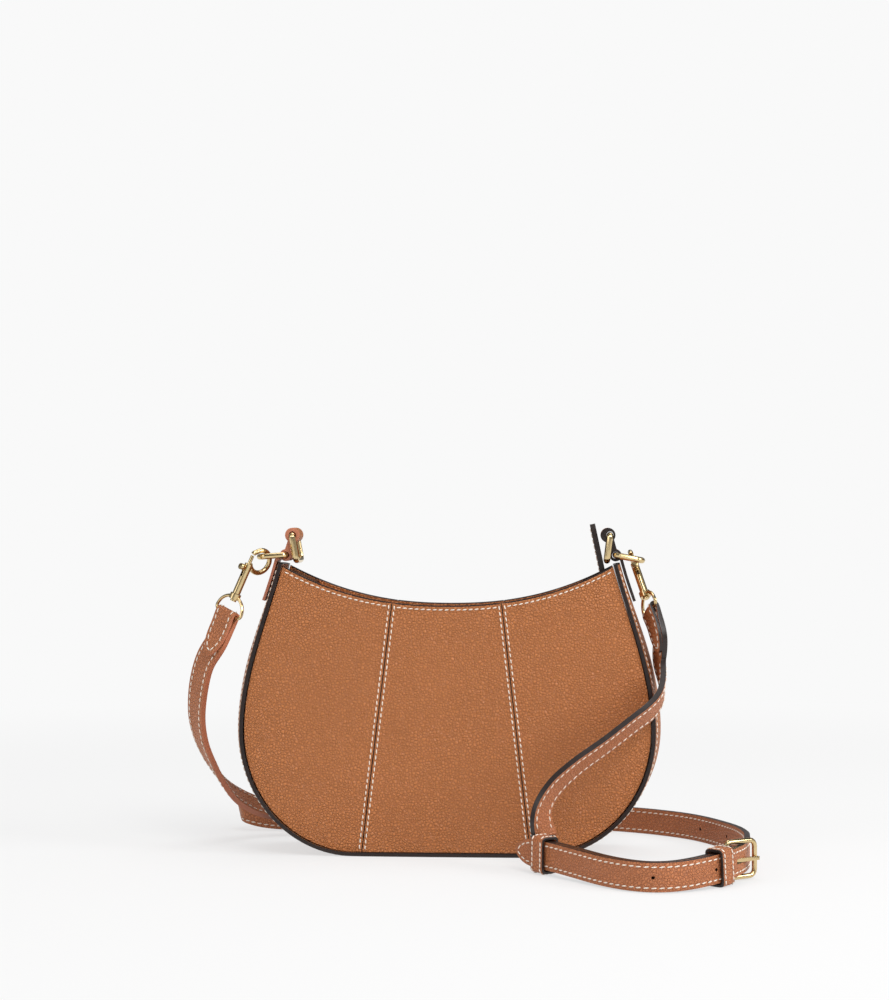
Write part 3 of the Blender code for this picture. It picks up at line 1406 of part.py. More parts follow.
def keeper(name, station, layers, finish):
    """A leather loop round the strap's layers at a station of the front run."""
    place, along, across, _normal, thickness = station
    inward = inner_side(station)
    depth = layers * thickness + (layers - 1) * LAYER_GAP
    centre = place + inward * (depth - thickness) / 2
    half_tall = STRAP_WIDTH / 2 + KEEPER_GAP
    half_deep = depth / 2 + KEEPER_GAP
    shape = bmesh.new()
    rings = []
    for end in (-1, 1):
        middle = centre + along * end * KEEPER_WIDTH / 2
        for grow in (0.0, KEEPER_THICK):
            ring = []
            corner = KEEPER_THICK / 2 + grow
            outline = rounded_loop(half_deep + grow, -half_tall - grow, half_tall + grow, corner, corner, 4)
            for tall, deep in outline:
                ring.append(shape.verts.new(middle + across * tall + inward * deep))
            rings.append(ring)
    near_in, near_out, far_in, far_out = rings
    for first, second in ((near_in, near_out), (near_out, far_out), (far_out, far_in), (far_in, near_in)):
        sides = len(first)
        for index in range(sides):
            following = (index + 1) % sides
            shape.faces.new((first[index], first[following], second[following], second[index]))
    bmesh.ops.recalc_face_normals(shape, faces=shape.faces)
    return piece_from(name, shape, finish)


def main():
    clear_scene()
    make_panels()
    make_gusset()
    make_lining()
    make_zip_bands()
    make_zip()
    make_slider()
    make_end_tab()
    for side, label in ((-1, "left"), (1, "right")):
        make_tab(side, label)
        make_rings(side, label)
    left = Hook(-1, "left", LEFT_GRIP, -1, 1, LEFT_HOOK_UP, LEFT_EYE_ACROSS, LEFT_STRAP_DOWN)
    right = Hook(1, "right", RIGHT_GRIP, 1, -1, RIGHT_HOOK_UP, RIGHT_EYE_ACROSS, RIGHT_STRAP_DOWN)
    make_hook(left)
    make_hook(right)
    run, frame = make_straps(left, right)
    make_buckle(frame)
    keeper("sliding_keeper", frame_at(run, KEEPER_PLACE_SHARE), 2, LEATHER)
    keeper("fixed_keeper", frame_at(run, FIXED_KEEPER_SHARE), 2, LEATHER)
    set_origin("sliding_keeper", frame_at(run, KEEPER_PLACE_SHARE)[0])
    for name in ("buckle_frame", "buckle_prong"):
        set_origin(name, frame["bar"])
    for hook in (left, right):
        set_origin(f"hook_eye_{hook.label}", hook.on_axis(EYE_FOOT))
        for part in ("hook", "hook_bolt", "hook_spring"):
            set_origin(f"{part}_{hook.label}", hook.on_axis(0.0))
    for side, label in ((-1, "left"), (1, "right")):
        set_origin(f"top_ring_{label}", top_eyelet(side))
        set_origin(f"side_ring_{label}", side_eyelet(side))
    for piece in bpy.context.collection.objects:
        shade_round(piece)


main()
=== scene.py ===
# %% [markdown]
# # A half moon bag in pebbled leather
# The solids of the bag are already modelled and packed. This lesson dresses them: soft leather with a
# pebbled grain, dark painted edges, rows of cream stitches, cloth inside and pale gold metal. Each skin is
# made from a copy of its solid, so that it stays exactly where the mechanism expects it.

import json
import math

import bmesh
import bpy
from mathutils import Matrix, Vector
from mathutils.bvhtree import BVHTree
from mathutils.kdtree import KDTree


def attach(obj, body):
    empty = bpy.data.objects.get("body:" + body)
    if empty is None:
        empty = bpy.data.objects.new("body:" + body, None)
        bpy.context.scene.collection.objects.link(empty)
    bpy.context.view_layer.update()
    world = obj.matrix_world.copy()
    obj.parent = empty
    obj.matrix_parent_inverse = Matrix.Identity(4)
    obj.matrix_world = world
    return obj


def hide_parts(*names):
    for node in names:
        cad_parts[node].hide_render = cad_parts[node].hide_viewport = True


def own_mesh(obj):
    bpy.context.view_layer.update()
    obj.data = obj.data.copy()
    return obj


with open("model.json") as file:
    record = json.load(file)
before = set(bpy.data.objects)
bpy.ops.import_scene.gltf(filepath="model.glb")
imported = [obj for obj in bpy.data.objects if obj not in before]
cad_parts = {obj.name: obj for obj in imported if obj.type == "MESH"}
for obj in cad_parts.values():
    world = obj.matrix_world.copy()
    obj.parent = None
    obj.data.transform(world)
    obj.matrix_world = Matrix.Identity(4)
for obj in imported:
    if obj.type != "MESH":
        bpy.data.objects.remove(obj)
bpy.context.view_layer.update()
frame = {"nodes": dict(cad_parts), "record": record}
record = frame["record"]
body_of = {node: body for body, nodes in record["behaviour"]["bodies"].items() for node in nodes}
print("loaded", len(frame["nodes"]), "solids")

# %% [markdown]
# ## Camera
# The photograph was taken from 1.3 m with a long lens, level at 197 mm above the table. The camera
# stands a little to the right and is turned a few degrees to the left. A level camera keeps upright
# lines upright, and the lens shift slides the picture instead of tilting the camera.

# %% Camera
CAMERA_YAW = math.radians(3.5)
CAMERA_DISTANCE = 1.3
CAMERA_HEIGHT = 0.197
SENSOR_HEIGHT_MM = 36.0
FOCAL_LENGTH_MM = 78.3
SHIFT_X, SHIFT_Y = -0.0044, 0.020  # shares of the picture's height

lens = bpy.data.cameras.new("camera")
lens.sensor_fit = "VERTICAL"
lens.sensor_height = SENSOR_HEIGHT_MM
lens.lens = FOCAL_LENGTH_MM
lens.shift_x = SHIFT_X
lens.shift_y = SHIFT_Y
camera = bpy.data.objects.new("camera", lens)
camera.location = (
    CAMERA_DISTANCE * math.sin(CAMERA_YAW),
    -CAMERA_DISTANCE * math.cos(CAMERA_YAW),
    CAMERA_HEIGHT,
)
camera.rotation_euler = (math.pi / 2, 0, CAMERA_YAW)
bpy.context.collection.objects.link(camera)
bpy.context.scene.camera = camera
print("camera", [round(v, 3) for v in camera.location])

# %% [markdown]
# ## Shader maths as Python
# A node tree is a calculation. The small class below wraps a socket, so that `1 - mask` or
# `hills * 0.8 + pores` adds the Math nodes by itself. Every other node is made by one method, which sets
# its options first and then fills its sockets.

# %% Value and Look


class Value:
    """An output socket that understands plain arithmetic."""

    def __init__(self, look, socket):
        self.look = look
        self.socket = socket

    def maths(self, operation, first, second):
        return self.look.node("Math", {"operation": operation}, {0: first, 1: second})

    def __add__(self, other):
        return self.maths("ADD", self, other)

    def __sub__(self, other):
        return self.maths("SUBTRACT", self, other)

    def __rsub__(self, other):
        return self.maths("SUBTRACT", other, self)

    def __mul__(self, other):
        return self.maths("MULTIPLY", self, other)

    __radd__ = __add__
    __rmul__ = __mul__


class Look:
    """A material being made."""

    def __init__(self, name):
        self.material = bpy.data.materials.new(name)
        self.material.use_nodes = True
        self.tree = self.material.node_tree
        self.shader = self.tree.nodes["Principled BSDF"]

    def node(self, kind, settings=(), inputs=(), output=0):
        """One node: its type, its settings, what goes into its sockets, and which output is wanted."""
        made = self.tree.nodes.new("ShaderNode" + kind)
        for name, value in dict(settings).items():
            setattr(made, name, value)
        self.fill(made, inputs)
        return Value(self, made.outputs[output])

    def fill(self, node, inputs):
        """Each input is another node's output or a plain value."""
        for name, value in dict(inputs).items():
            if isinstance(value, Value):
                self.tree.links.new(value.socket, node.inputs[name])
            else:
                node.inputs[name].default_value = value

    def finish(self, **inputs):
        """Fill the shader's own sockets. Base_Color stands for Base Color."""
        self.fill(self.shader, {name.replace("_", " "): value for name, value in inputs.items()})
        print("finish", self.material.name)
        return self.material

    def place(self):
        return self.node("TexCoord", output="Object")

    def noise(self, place, scale, detail, **more):
        """Soft noise from 0 to 1, with about scale bumps to the metre."""
        return self.node("TexNoise", (), {"Vector": place, "Scale": scale, "Detail": detail, **more}, "Fac")

    def bands(self, place, scale, direction):
        """Waves from 0 to 1, one after the other along a direction."""
        return self.node("TexWave", {"bands_direction": direction}, {"Vector": place, "Scale": scale}, "Fac")

    def step(self, value, low, high):
        """0 below low, 1 above high, and smooth in between."""
        limits = {"Value": value, "From Min": low, "From Max": high}
        return self.node("MapRange", {"interpolation_type": "SMOOTHSTEP"}, limits)

    def mix(self, share, first, second):
        """From the first colour at share 0 to the second at share 1."""
        return self.node("Mix", {"data_type": "RGBA"}, {0: share, 6: first, 7: second}, 2)

    def bump(self, height, depth, strength=1.0):
        """Small relief, depth metres high where height is 1."""
        return self.node("Bump", (), {"Height": height, "Distance": depth, "Strength": strength})


def shade(red, green, blue):
    """A colour picked from a screen, 0 to 255, as the linear colour a shader wants."""
    shares = [value / 255 for value in (red, green, blue)]
    return (*(v / 12.92 if v < 0.0404 else ((v + 0.055) / 1.055) ** 2.4 for v in shares), 1.0)


# %% [markdown]
# ## Pebbled leather
# The hide is milled in a drum until its surface shrinks into small soft pebbles, one or two millimetres
# across, with fine creases between them. A Voronoi texture measures the distance to the nearest crease. Its
# coordinates are bent by noise, because no two pebbles are alike. The creases are painted a little darker,
# as painted shade for the shade that falls into them, and the tops are a little glossier, where hands and
# tools have touched them. The strap's leather is pressed flatter, so its grain is shallower.

# %% Leather finish
GRAINS_PER_METRE = 600
GRAIN_DEPTH = 0.0011
STRAP_GRAIN_DEPTH = 0.6 * GRAIN_DEPTH
GRAIN_WANDER = 0.0012
WANDER_SCALE = 240
PORES_PER_METRE = 4200
CLOUD_SCALE = 26
CREASE_REACH = 0.22
CLOUD_SHADE = 0.93


def leather(name, light, dark, depth):
    """Light pebbles with creases darkened as painted shade, depth metres deep."""
    look = Look(name)
    place = look.place()
    wander = look.node("TexNoise", (), {"Vector": place, "Scale": WANDER_SCALE, "Detail": 1.5}, "Color")
    bend = (GRAIN_WANDER, GRAIN_WANDER, GRAIN_WANDER)
    bent = look.node("VectorMath", {"operation": "MULTIPLY_ADD"}, {0: wander, 1: bend, 2: place})
    cells = {"Vector": bent, "Scale": GRAINS_PER_METRE}
    crease = look.node("TexVoronoi", {"feature": "DISTANCE_TO_EDGE"}, cells, "Distance")
    dome = look.node("TexVoronoi", {"feature": "F1"}, cells, "Distance")
    pore = look.noise(place, PORES_PER_METRE, 2)
    cloud = look.noise(place, CLOUD_SCALE, 3, Roughness=0.6)
    hills = look.step(crease, 0.0, CREASE_REACH)
    height = hills * 0.5 + (1 - dome) * 0.45 + pore * 0.05
    clouded = tuple(CLOUD_SHADE * v for v in light[:3]) + (1.0,)
    tops = look.mix(look.step(cloud, 0.3, 0.7), light, clouded)
    return look.finish(
        # the dark colour in the creases is painted shade, standing in for the shade that falls into them
        Base_Color=look.mix(hills, dark, tops),
        Roughness=0.50 - hills * 0.1 + pore * 0.06,
        Normal=look.bump(height, depth, 0.9),
    )


# The second colour of each leather is its crease colour, which is painted shade.
TAN = leather("tan_leather", shade(193, 119, 64), shade(173, 104, 55), GRAIN_DEPTH)
STRAP_TAN = leather("strap_leather", shade(190, 117, 72), shade(162, 96, 57), STRAP_GRAIN_DEPTH)

# %% [markdown]
# ## Edge paint
# Cut edges of leather show fibres, so the maker sands them and lays on two or three coats of dark paint.
# It dries to a satin bead with faint waves from the brush. On the left tab and on the strap that hangs
# from it the paint is nearly as pale as the leather.

# %% Painted edge
BRUSH_SCALE = 700
BRUSH_DEPTH = 0.00008
DARK_PAINT = (shade(24, 16, 14), shade(46, 32, 27))
PALE_PAINT = shade(186, 116, 86)
PALE_END = -0.125  # left of this x the strap's paint is the pale one
PALE_BLEND = 0.02


def edge_paint(name, deep, bright, pale_end=None):
    """Waxed paint; pale_end is the x at which the colour has turned into the pale one on the left."""
    look = Look(name)
    place = look.place()
    waves = look.noise(place, BRUSH_SCALE, 2)
    colour = look.mix(waves, deep, bright)
    if pale_end is not None:
        across = look.node("SeparateXYZ", (), {"Vector": place}, "X")
        colour = look.mix(look.step(across, pale_end, pale_end + PALE_BLEND), PALE_PAINT, colour)
    return look.finish(
        Base_Color=colour,
        Roughness=0.26 + waves * 0.2,
        Normal=look.bump(waves, BRUSH_DEPTH, 0.6),
    )


EDGE = edge_paint("edge_paint", *DARK_PAINT)
PALE_EDGE = edge_paint("pale_edge_paint", shade(178, 108, 78), shade(194, 124, 94))
STRAP_EDGE = edge_paint("strap_edge_paint", *DARK_PAINT, pale_end=PALE_END)

# %% [markdown]
# ## Thread, cloth and zip tape
# Waxed polyester thread is laid from three twisted strands, so it gets a slanted ripple. The lining is
# a fine twill: two wave patterns crossing. The zip tape is woven the same way, only finer and darker.

# %% Thread and cloth
STRAND_SCALE = 900
STRAND_DEPTH = 0.00006
FUZZ_SCALE = 900
WEAVE_DEPTH = 0.00012
LINING_SCALE = 260
ZIP_CLOTH_SCALE = 320


def thread():
    look = Look("cream_thread")
    strands = look.bands(look.place(), STRAND_SCALE, "DIAGONAL")
    return look.finish(
        Base_Color=look.mix(strands, shade(222, 206, 188), shade(248, 238, 226)),
        Roughness=0.6,
        Normal=look.bump(strands, STRAND_DEPTH, 0.7),
    )


def cloth(name, light, dark, scale):
    look = Look(name)
    place = look.place()
    weave = look.bands(place, scale, "X") * 0.5 + look.bands(place, scale, "Z") * 0.5
    fuzz = look.noise(place, FUZZ_SCALE, 2)
    return look.finish(
        Base_Color=look.mix(weave * 0.7 + fuzz * 0.3, dark, light),
        Roughness=0.8 + fuzz * 0.15,
        Normal=look.bump(weave, WEAVE_DEPTH, 0.8),
    )


THREAD = thread()
LINING = cloth("twill_lining", shade(126, 88, 62), shade(88, 58, 40), LINING_SCALE)
ZIP_CLOTH = cloth("zip_cloth", shade(120, 74, 46), shade(78, 46, 28), ZIP_CLOTH_SCALE)

# %% [markdown]
# ## Metal
# The fittings are cast, polished and plated in a pale gold. Plated metal is a mirror with fine
# polishing lines, so the roughness is low and varies a little. The hook's spring is plain steel wire.

# %% Metal finishes
HAZE_SCALE = 160
POLISH_SCALE = 2600
POLISH_DEPTH = 0.00001
GOLD_ROUGHNESS = 0.13
STEEL_ROUGHNESS = 0.25


def metal(name, colour, dull, roughness):
    look = Look(name)
    place = look.place()
    haze = look.noise(place, HAZE_SCALE, 4, Roughness=0.65)
    lines = look.noise(place, POLISH_SCALE, 1)
    return look.finish(
        Base_Color=look.mix(haze, colour, dull),
        Metallic=1.0,
        Roughness=haze * 0.12 + roughness,
        Normal=look.bump(lines, POLISH_DEPTH, 0.4),
    )


GOLD = metal("pale_gold", shade(230, 208, 162), shade(204, 176, 124), GOLD_ROUGHNESS)
STEEL = metal("spring_wire", shade(196, 196, 198), shade(160, 160, 164), STEEL_ROUGHNESS)

# %% [markdown]
# ## From solid to skin
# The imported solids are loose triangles. A copy is merged into one skin and its triangles are joined
# back into quads, which a subdivision surface can round. Faces that meet without a sharp edge
# form one skin: on a strap these are the top, the underside and the narrow edges. The broad skins
# get leather and the narrow ones get edge paint.

# %% Helpers that read a solid's skins
WELD = 0.00002
QUAD_BEND = math.radians(25)
QUAD_SKEW = math.radians(70)
SHARP_ANGLE = math.radians(35)
CORNER_ANGLE = math.radians(42)
NARROW = 0.0042
TINY = 1e-9  # keeps a division from failing where a length is zero


def merged_copy(node):
    """The solid's triangles, joined up and turned into quads where they lie flat enough."""
    shape = bmesh.new()
    shape.from_mesh(frame["nodes"][node].data)
    bmesh.ops.remove_doubles(shape, verts=shape.verts, dist=WELD)
    bmesh.ops.join_triangles(
        shape,
        faces=shape.faces,
        angle_face_threshold=QUAD_BEND,
        angle_shape_threshold=QUAD_SKEW,
    )
    shape.faces.index_update()
    shape.verts.index_update()
    return shape


def skins(shape, sharp):
    """Groups of faces that meet at less than the sharp angle, the largest first."""
    seen = set()
    groups = []
    for first in shape.faces:
        if first.index in seen:
            continue
        seen.add(first.index)
        group = [first]
        for face in group:
            for edge in face.edges:
                if edge.calc_face_angle(0.0) > sharp:
                    continue
                for other in edge.link_faces:
                    if other.index not in seen:
                        seen.add(other.index)
                        group.append(other)
        groups.append(group)
    groups.sort(key=lambda group: -sum(face.calc_area() for face in group))
    return groups


def borders(group):
    """The closed lines around a skin, with the skin always on their left."""
    inside = {face.index for face in group}
    follow = {}
    for face in group:
        for loop in face.loops:
            if any(other.index not in inside for other in loop.edge.link_faces):
                follow[loop.vert.index] = loop
    lines = []
    while follow:
        vertex = min(follow)
        line = []
        while vertex in follow:
            loop = follow.pop(vertex)
            line.append(loop.vert.co.copy())
            vertex = loop.link_loop_next.vert.index
        lines.append(line)
    return lines


def closed(line):
    """The line with its first point again at its end."""
    return line + line[:1]


def length_of(line):
    return sum((b - a).length for a, b in zip(line, line[1:]))


def width_of(group):
    """How wide a skin is, taking it as a strip: twice its area over its border's length."""
    around = sum(length_of(closed(line)) for line in borders(group))
    return 2 * sum(face.calc_area() for face in group) / max(around, TINY)


def spaced(line, pitch):
    """Points every pitch along a line, evened out so that they reach both ends."""
    total = length_of(line)
    count = max(2, round(total / pitch) + 1)
    points = []
    walked = 0.0
    index = 0
    for step in range(count):
        goal = total * step / (count - 1)
        while index < len(line) - 2 and walked + (line[index + 1] - line[index]).length < goal:
            walked += (line[index + 1] - line[index]).length
            index += 1
        run = line[index + 1] - line[index]
        share = min(1.0, (goal - walked) / max(run.length, TINY))
        points.append(line[index] + run * share)
    return points


def sides(line):
    """A closed line cut at its corners into open sides."""
    count = len(line)
    cuts = []
    for index in range(count):
        before = line[index] - line[index - 1]
        after = line[(index + 1) % count] - line[index]
        if before.length > 0 and after.length > 0 and before.angle(after) > CORNER_ANGLE:
            cuts.append(index)
    if not cuts:
        return [closed(line)]
    made = []
    for start, end in zip(cuts, cuts[1:] + [cuts[0] + count]):
        made.append([line[k % count] for k in range(start, end + 1)])
    return made


print("helpers ready")

# %% [markdown]
# ## Stitches
# A lockstitch shows as short dashes of thread, each one pulled a little into the leather and slanting a
# few degrees. A row runs at a fixed distance inside the edge of a skin. Every dash is a small
# stretched ball, set along the row and sunk by about a quarter of its thickness.

# %% Rows of stitches
STITCH_RADIUS = 0.00044
STITCH_SLANT = math.radians(7)
STITCH_FLATNESS = 0.8
STITCH_LIFT = 0.35 * STITCH_RADIUS
STITCH_PITCH = 0.0035
STITCH_LENGTH = 0.0026
ROW_STEP = 0.0012
WALL_STEP = 0.0006
SHORTEST_ROW = 0.006
CLOSEST_SHARE = 0.93
WIDEST_GAP = 0.002  # a dash further than this from its skin would hang in the air
LONGEST_STRIDE = 1.6  # in pitches; a longer one jumps over a part of the row that was left out


def inset_row(line, tree, inset, wall, closest):
    """The line moved inwards over the skin, without the points that come too near another edge."""
    dense = spaced(line, ROW_STEP)
    row = []
    last = len(dense) - 1
    for index, point in enumerate(dense):
        run = (dense[min(index + 1, last)] - dense[max(index - 1, 0)]).normalized()
        _spot, normal, _face, _gap = tree.find_nearest(point)
        moved = point + normal.cross(run) * inset
        spot, _normal, _face, _gap = tree.find_nearest(moved)
        if wall.find(spot)[2] > inset * closest:
            row.append(spot)
    return row


def make_dash():
    """One dash of thread: a small ball with its poles along the row."""
    shape = bmesh.new()
    bmesh.ops.create_uvsphere(shape, u_segments=6, v_segments=5, radius=1.0)
    dash = bpy.data.meshes.new("dash")
    shape.to_mesh(dash)
    shape.free()
    return dash


DASH = make_dash()


def sew(shape, row, tree, pitch, length):
    """Dashes of thread along a row, except where they would hang in the air or dip under the base."""
    if len(row) < 3:
        return 0
    sewn = 0
    ends = spaced(row, pitch)
    for a, b in zip(ends, ends[1:]):
        spot, normal, _face, gap = tree.find_nearest((a + b) / 2)
        under_base = spot.z < STITCH_RADIUS
        if gap > WIDEST_GAP or (b - a).length > LONGEST_STRIDE * pitch or under_base:
            continue
        run = (b - a).normalized()
        run = (Matrix.Rotation(STITCH_SLANT, 3, normal) @ run).normalized()
        across = normal.cross(run).normalized()
        turn = Matrix((across, normal, run)).transposed().to_4x4()
        size = Matrix.Diagonal((STITCH_RADIUS, STITCH_RADIUS * STITCH_FLATNESS, length / 2, 1.0))
        dash = DASH.copy()
        dash.transform(Matrix.Translation(spot + normal * STITCH_LIFT) @ turn @ size)
        shape.from_mesh(dash)
        bpy.data.meshes.remove(dash)
        sewn += 1
    return sewn


def put_up(name, shape, body, *materials):
    """A bmesh becomes a smooth shaded piece that rides on a body."""
    mesh = bpy.data.meshes.new(name)
    for face in shape.faces:
        face.smooth = True
    shape.to_mesh(mesh)
    shape.free()
    for material in materials:
        mesh.materials.append(material)
    piece = bpy.data.objects.new(name, mesh)
    bpy.context.collection.objects.link(piece)
    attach(piece, body)
    return piece


def stitch_rows(
    node,
    inset_of,
    pitch=STITCH_PITCH,
    length=STITCH_LENGTH,
    broad=1,
    closest=CLOSEST_SHARE,
    sharp=SHARP_ANGLE,
    facing=None,
):
    """Sew along the sides of a solid's broadest skins. inset_of gives each side its inset, or 0 for none.

    broad says how many skins are sewn, closest which share of the inset a row keeps from every edge, and
    sharp the angle that parts two skins. With facing, only the skins that look that way are sewn.
    """
    base = merged_copy(node)
    corners = [vertex.co for vertex in base.verts]
    groups = [group for group in skins(base, sharp) if width_of(group) > NARROW][:broad]
    if facing:
        groups = [group for group in groups if sum(face.normal.dot(Vector(facing)) for face in group) > 0]
    shape = bmesh.new()
    count = 0
    for group in groups:
        tree = BVHTree.FromPolygons(corners, [[vertex.index for vertex in face.verts] for face in group])
        edge_lines = borders(group)
        dots = [point for line in edge_lines for point in spaced(closed(line), WALL_STEP)]
        wall = KDTree(len(dots))
        for index, dot in enumerate(dots):
            wall.insert(dot, index)
        wall.balance()
        for side in (side for line in edge_lines for side in sides(line)):
            inset = inset_of(side)
            if inset and length_of(side) > SHORTEST_ROW:
                count += sew(shape, inset_row(side, tree, inset, wall, closest), tree, pitch, length)
    base.free()
    piece = put_up(f"stitches_{node}", shape, body_of[node], THREAD)
    print(piece.name, count)
    return piece


def along(inset, shortest=0.0):
    """A rule for stitch_rows: one inset for every side that is longer than the shortest."""
    return lambda side: inset * (length_of(side) > shortest)


# %% [markdown]
# ## Dressing a solid
# One helper makes the skin of any solid. Sharp edges are creased, so that the subdivision rounds the
# surface and keeps the corner lines, and a small bevel then softens them as paint and handling do.

# %% The dressing helper
BEVEL_STEPS = 3

# How far an edge is rounded, from thick leather to a crisp casting
THICK_EDGE = 0.0006
TAB_EDGE = 0.0005
LEATHER_EDGE = 0.0004
SMALL_EDGE = 0.0003
THIN_EDGE = 0.0002
CRISP_EDGE = 0.0001
UNROUNDED = 0.0


def everywhere(_face):
    """The rule for a painted rim that runs all round a skin."""
    return True


def dress(
    node,
    finish,
    edge=None,
    levels=2,
    rounding=LEATHER_EDGE,
    rim=0.0,
    on_rim=everywhere,
    sharp=SHARP_ANGLE,
):
    """A finer copy of a solid, whose broad skins take finish and whose narrow ones take edge.

    With rim, the paint also laps over the border of the broad skins, where on_rim says yes.
    """
    shape = merged_copy(node)
    if edge:
        for group in skins(shape, sharp):
            broad = width_of(group) > NARROW
            border = []
            if broad and rim:
                inner = bmesh.ops.inset_region(shape, faces=group, thickness=rim, use_even_offset=True)
                border = inner["faces"]
            for face in border if broad else group:
                face.material_index = int(not broad or on_rim(face))
    crease = shape.edges.layers.float.new("crease_edge")
    for line in shape.edges:
        corner = line.calc_face_angle(0.0) > sharp
        finishes = {face.material_index for face in line.link_faces}
        line[crease] = float(corner or len(finishes) > 1)
        line.smooth = bool(rounding) or not corner
    materials = (finish, edge) if edge else (finish,)
    piece = put_up(f"dressed_{node}", shape, body_of[node], *materials)
    if levels:
        surface = piece.modifiers.new("rounded", "SUBSURF")
        surface.levels = levels
        surface.render_levels = levels
    if rounding:
        bevel = piece.modifiers.new("softened", "BEVEL")
        bevel.width = rounding
        bevel.segments = BEVEL_STEPS
        bevel.limit_method = "ANGLE"
        bevel.angle_limit = SHARP_ANGLE
        bevel.harden_normals = True
        bevel.material = 1 if edge else 0
    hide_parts(node)
    return piece


# %% [markdown]
# ## The body
# Three panels make the front and three the rear. They are cut, painted along the edges and sewn side
# by side, so that each seam shows as a dark line between two stitch rows. The gusset is one
# long band round the bag, and its painted rim frames the panels with a strong dark line.

# %% Panels
PANELS = [f"{face}_panel_{label}" for face in ("front", "rear") for label in ("left", "centre", "right")]
PANEL_RIM = 0.0008
MOUTH_ZONE = 0.12  # on the panels, only the mouth's edges lie above this height


def runs_along_top(face):
    """Whether a narrow strip face lies along the mouth."""
    longest = max(face.edges, key=lambda edge: edge.calc_length())
    run = longest.verts[1].co - longest.verts[0].co
    return abs(run.x) > abs(run.z) and face.calc_center_median().z > MOUTH_ZONE


for node in PANELS:
    dress(node, TAN, EDGE, rim=PANEL_RIM, on_rim=runs_along_top)
print("panels dressed")

# %% Seam and top rows
TOP_INSET = 0.0026
SHORTEST_TOP = 0.03
SEAM_INSET = 0.0015
SHORTEST_SEAM = 0.1
PANEL_CLOSEST_SHARE = 0.5
LEVEL_SHARE = 0.8
UPRIGHT_SHARE = 0.9


def is_top(side):
    """A side that runs mostly across the bag, up at the mouth."""
    length = length_of(side)
    level = abs(side[-1].x - side[0].x) > LEVEL_SHARE * length
    return length > SHORTEST_TOP and level and side[len(side) // 2].z > MOUTH_ZONE


def is_seam(side):
    """A long side that runs almost straight up the bag."""
    length = length_of(side)
    return length > SHORTEST_SEAM and abs(side[-1].z - side[0].z) > UPRIGHT_SHARE * length


def panel_inset(side):
    return TOP_INSET if is_top(side) else SEAM_INSET if is_seam(side) else 0


for node in PANELS:
    stitch_rows(node, panel_inset, closest=PANEL_CLOSEST_SHARE)

# %% Gusset
GUSSET_RIM = 0.0005
GUSSET_INSET = 0.0028

dress("gusset", TAN, EDGE, rounding=THICK_EDGE, rim=GUSSET_RIM)
stitch_rows("gusset", along(GUSSET_INSET, shortest=0.2))

# %% Base board and lining
for node in ("base_board", "lining_front", "lining_rear", "lining_gusset"):
    dress(node, LINING, levels=1, rounding=UNROUNDED)
print("lining dressed")

# %% [markdown]
# ## The mouth
# Two leather bands inside the mouth carry the zip. The tapes are cloth with small metal teeth along
# their edge, and a leather end piece covers each end. The end tab stands close to the right top ring,
# so it is sewn only on its other side.

# %% Bands, tapes and ends
BAND_INSET = 0.0022
TAB_INSET = 0.0019
AWAY_FROM_RING = (-1, 0, 0)

for face in ("front", "rear"):
    dress(f"zip_band_{face}", TAN, EDGE, levels=1, rounding=THIN_EDGE)
    stitch_rows(f"zip_band_{face}", along(BAND_INSET, shortest=0.1), broad=2)
    dress(f"zip_tape_{face}", ZIP_CLOTH, levels=1, rounding=UNROUNDED)
    dress(f"zip_teeth_{face}", GOLD, levels=0, rounding=CRISP_EDGE)
for label in ("left", "right"):
    dress(f"zip_end_{label}", TAN, EDGE, levels=1, rounding=SMALL_EDGE)
dress("zip_end_tab", TAN, EDGE, rounding=TAB_EDGE)
stitch_rows("zip_end_tab", along(TAB_INSET, shortest=0.012), broad=2, facing=AWAY_FROM_RING)
for node in ("zip_slider", "zip_pull"):
    dress(node, GOLD, levels=0, rounding=THIN_EDGE)

# %% [markdown]
# ## Tabs, rings and hooks
# A folded leather tab at each tip holds two rings. The rings are bent wire, so the subdivision makes
# them truly round. The swivel hooks are castings with a sprung bolt.

# %% Tabs and fittings
PRESSED_SHARE = 0.9  # how much of the room that the drawn bolt leaves its spring fills


def press_spring(spring, joint_name):
    """Give the spring a mesh of its own, and print the share of its length that it would keep against the
    barrel's floor with the bolt drawn back.
    """
    slide = next(joint for joint in record["behaviour"]["joints"] if joint["name"] == joint_name)
    down = Vector(slide["axis"]).normalized()
    along_axis = sorted((down.dot(vertex.co), vertex.index) for vertex in spring.data.vertices)
    room = along_axis[-1][0] - along_axis[0][0]
    keep = PRESSED_SHARE * (1 - slide["range_m"][1] / room)
    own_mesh(spring)
    print(spring.name, "keeps", round(keep, 2))


for label in ("left", "right"):
    dress(f"ring_tab_{label}", TAN, PALE_EDGE if label == "left" else EDGE, levels=0)
    dress(f"top_ring_{label}", GOLD, rounding=UNROUNDED)
    dress(f"side_ring_{label}", GOLD, rounding=UNROUNDED)
    dress(f"hook_eye_{label}", GOLD, levels=1, rounding=UNROUNDED)
    dress(f"hook_{label}", GOLD, levels=0, rounding=UNROUNDED)
    dress(f"hook_bolt_{label}", GOLD, levels=0, rounding=CRISP_EDGE)
    press_spring(dress(f"hook_spring_{label}", STEEL, levels=1, rounding=UNROUNDED), f"bolt_slide_{label}")
print("fittings dressed")

# %% [markdown]
# ## The strap
# Two layers of leather are glued, stitched along both edges and painted. The long part carries the
# holes and the short part the buckle, with one sewn and one sliding keeper.

# %% Strap
BENT_ANGLE = math.radians(62)  # the strap's tight turns are bends, only its cut edges are corners
STRAP_SKINS = 12
STRAP_INSET = 0.0022
STRAP_PITCH = 0.0042
STRAP_STITCH = 0.0031
KEEPER_INSET = 0.0017
KEEPER_PITCH = 0.0030

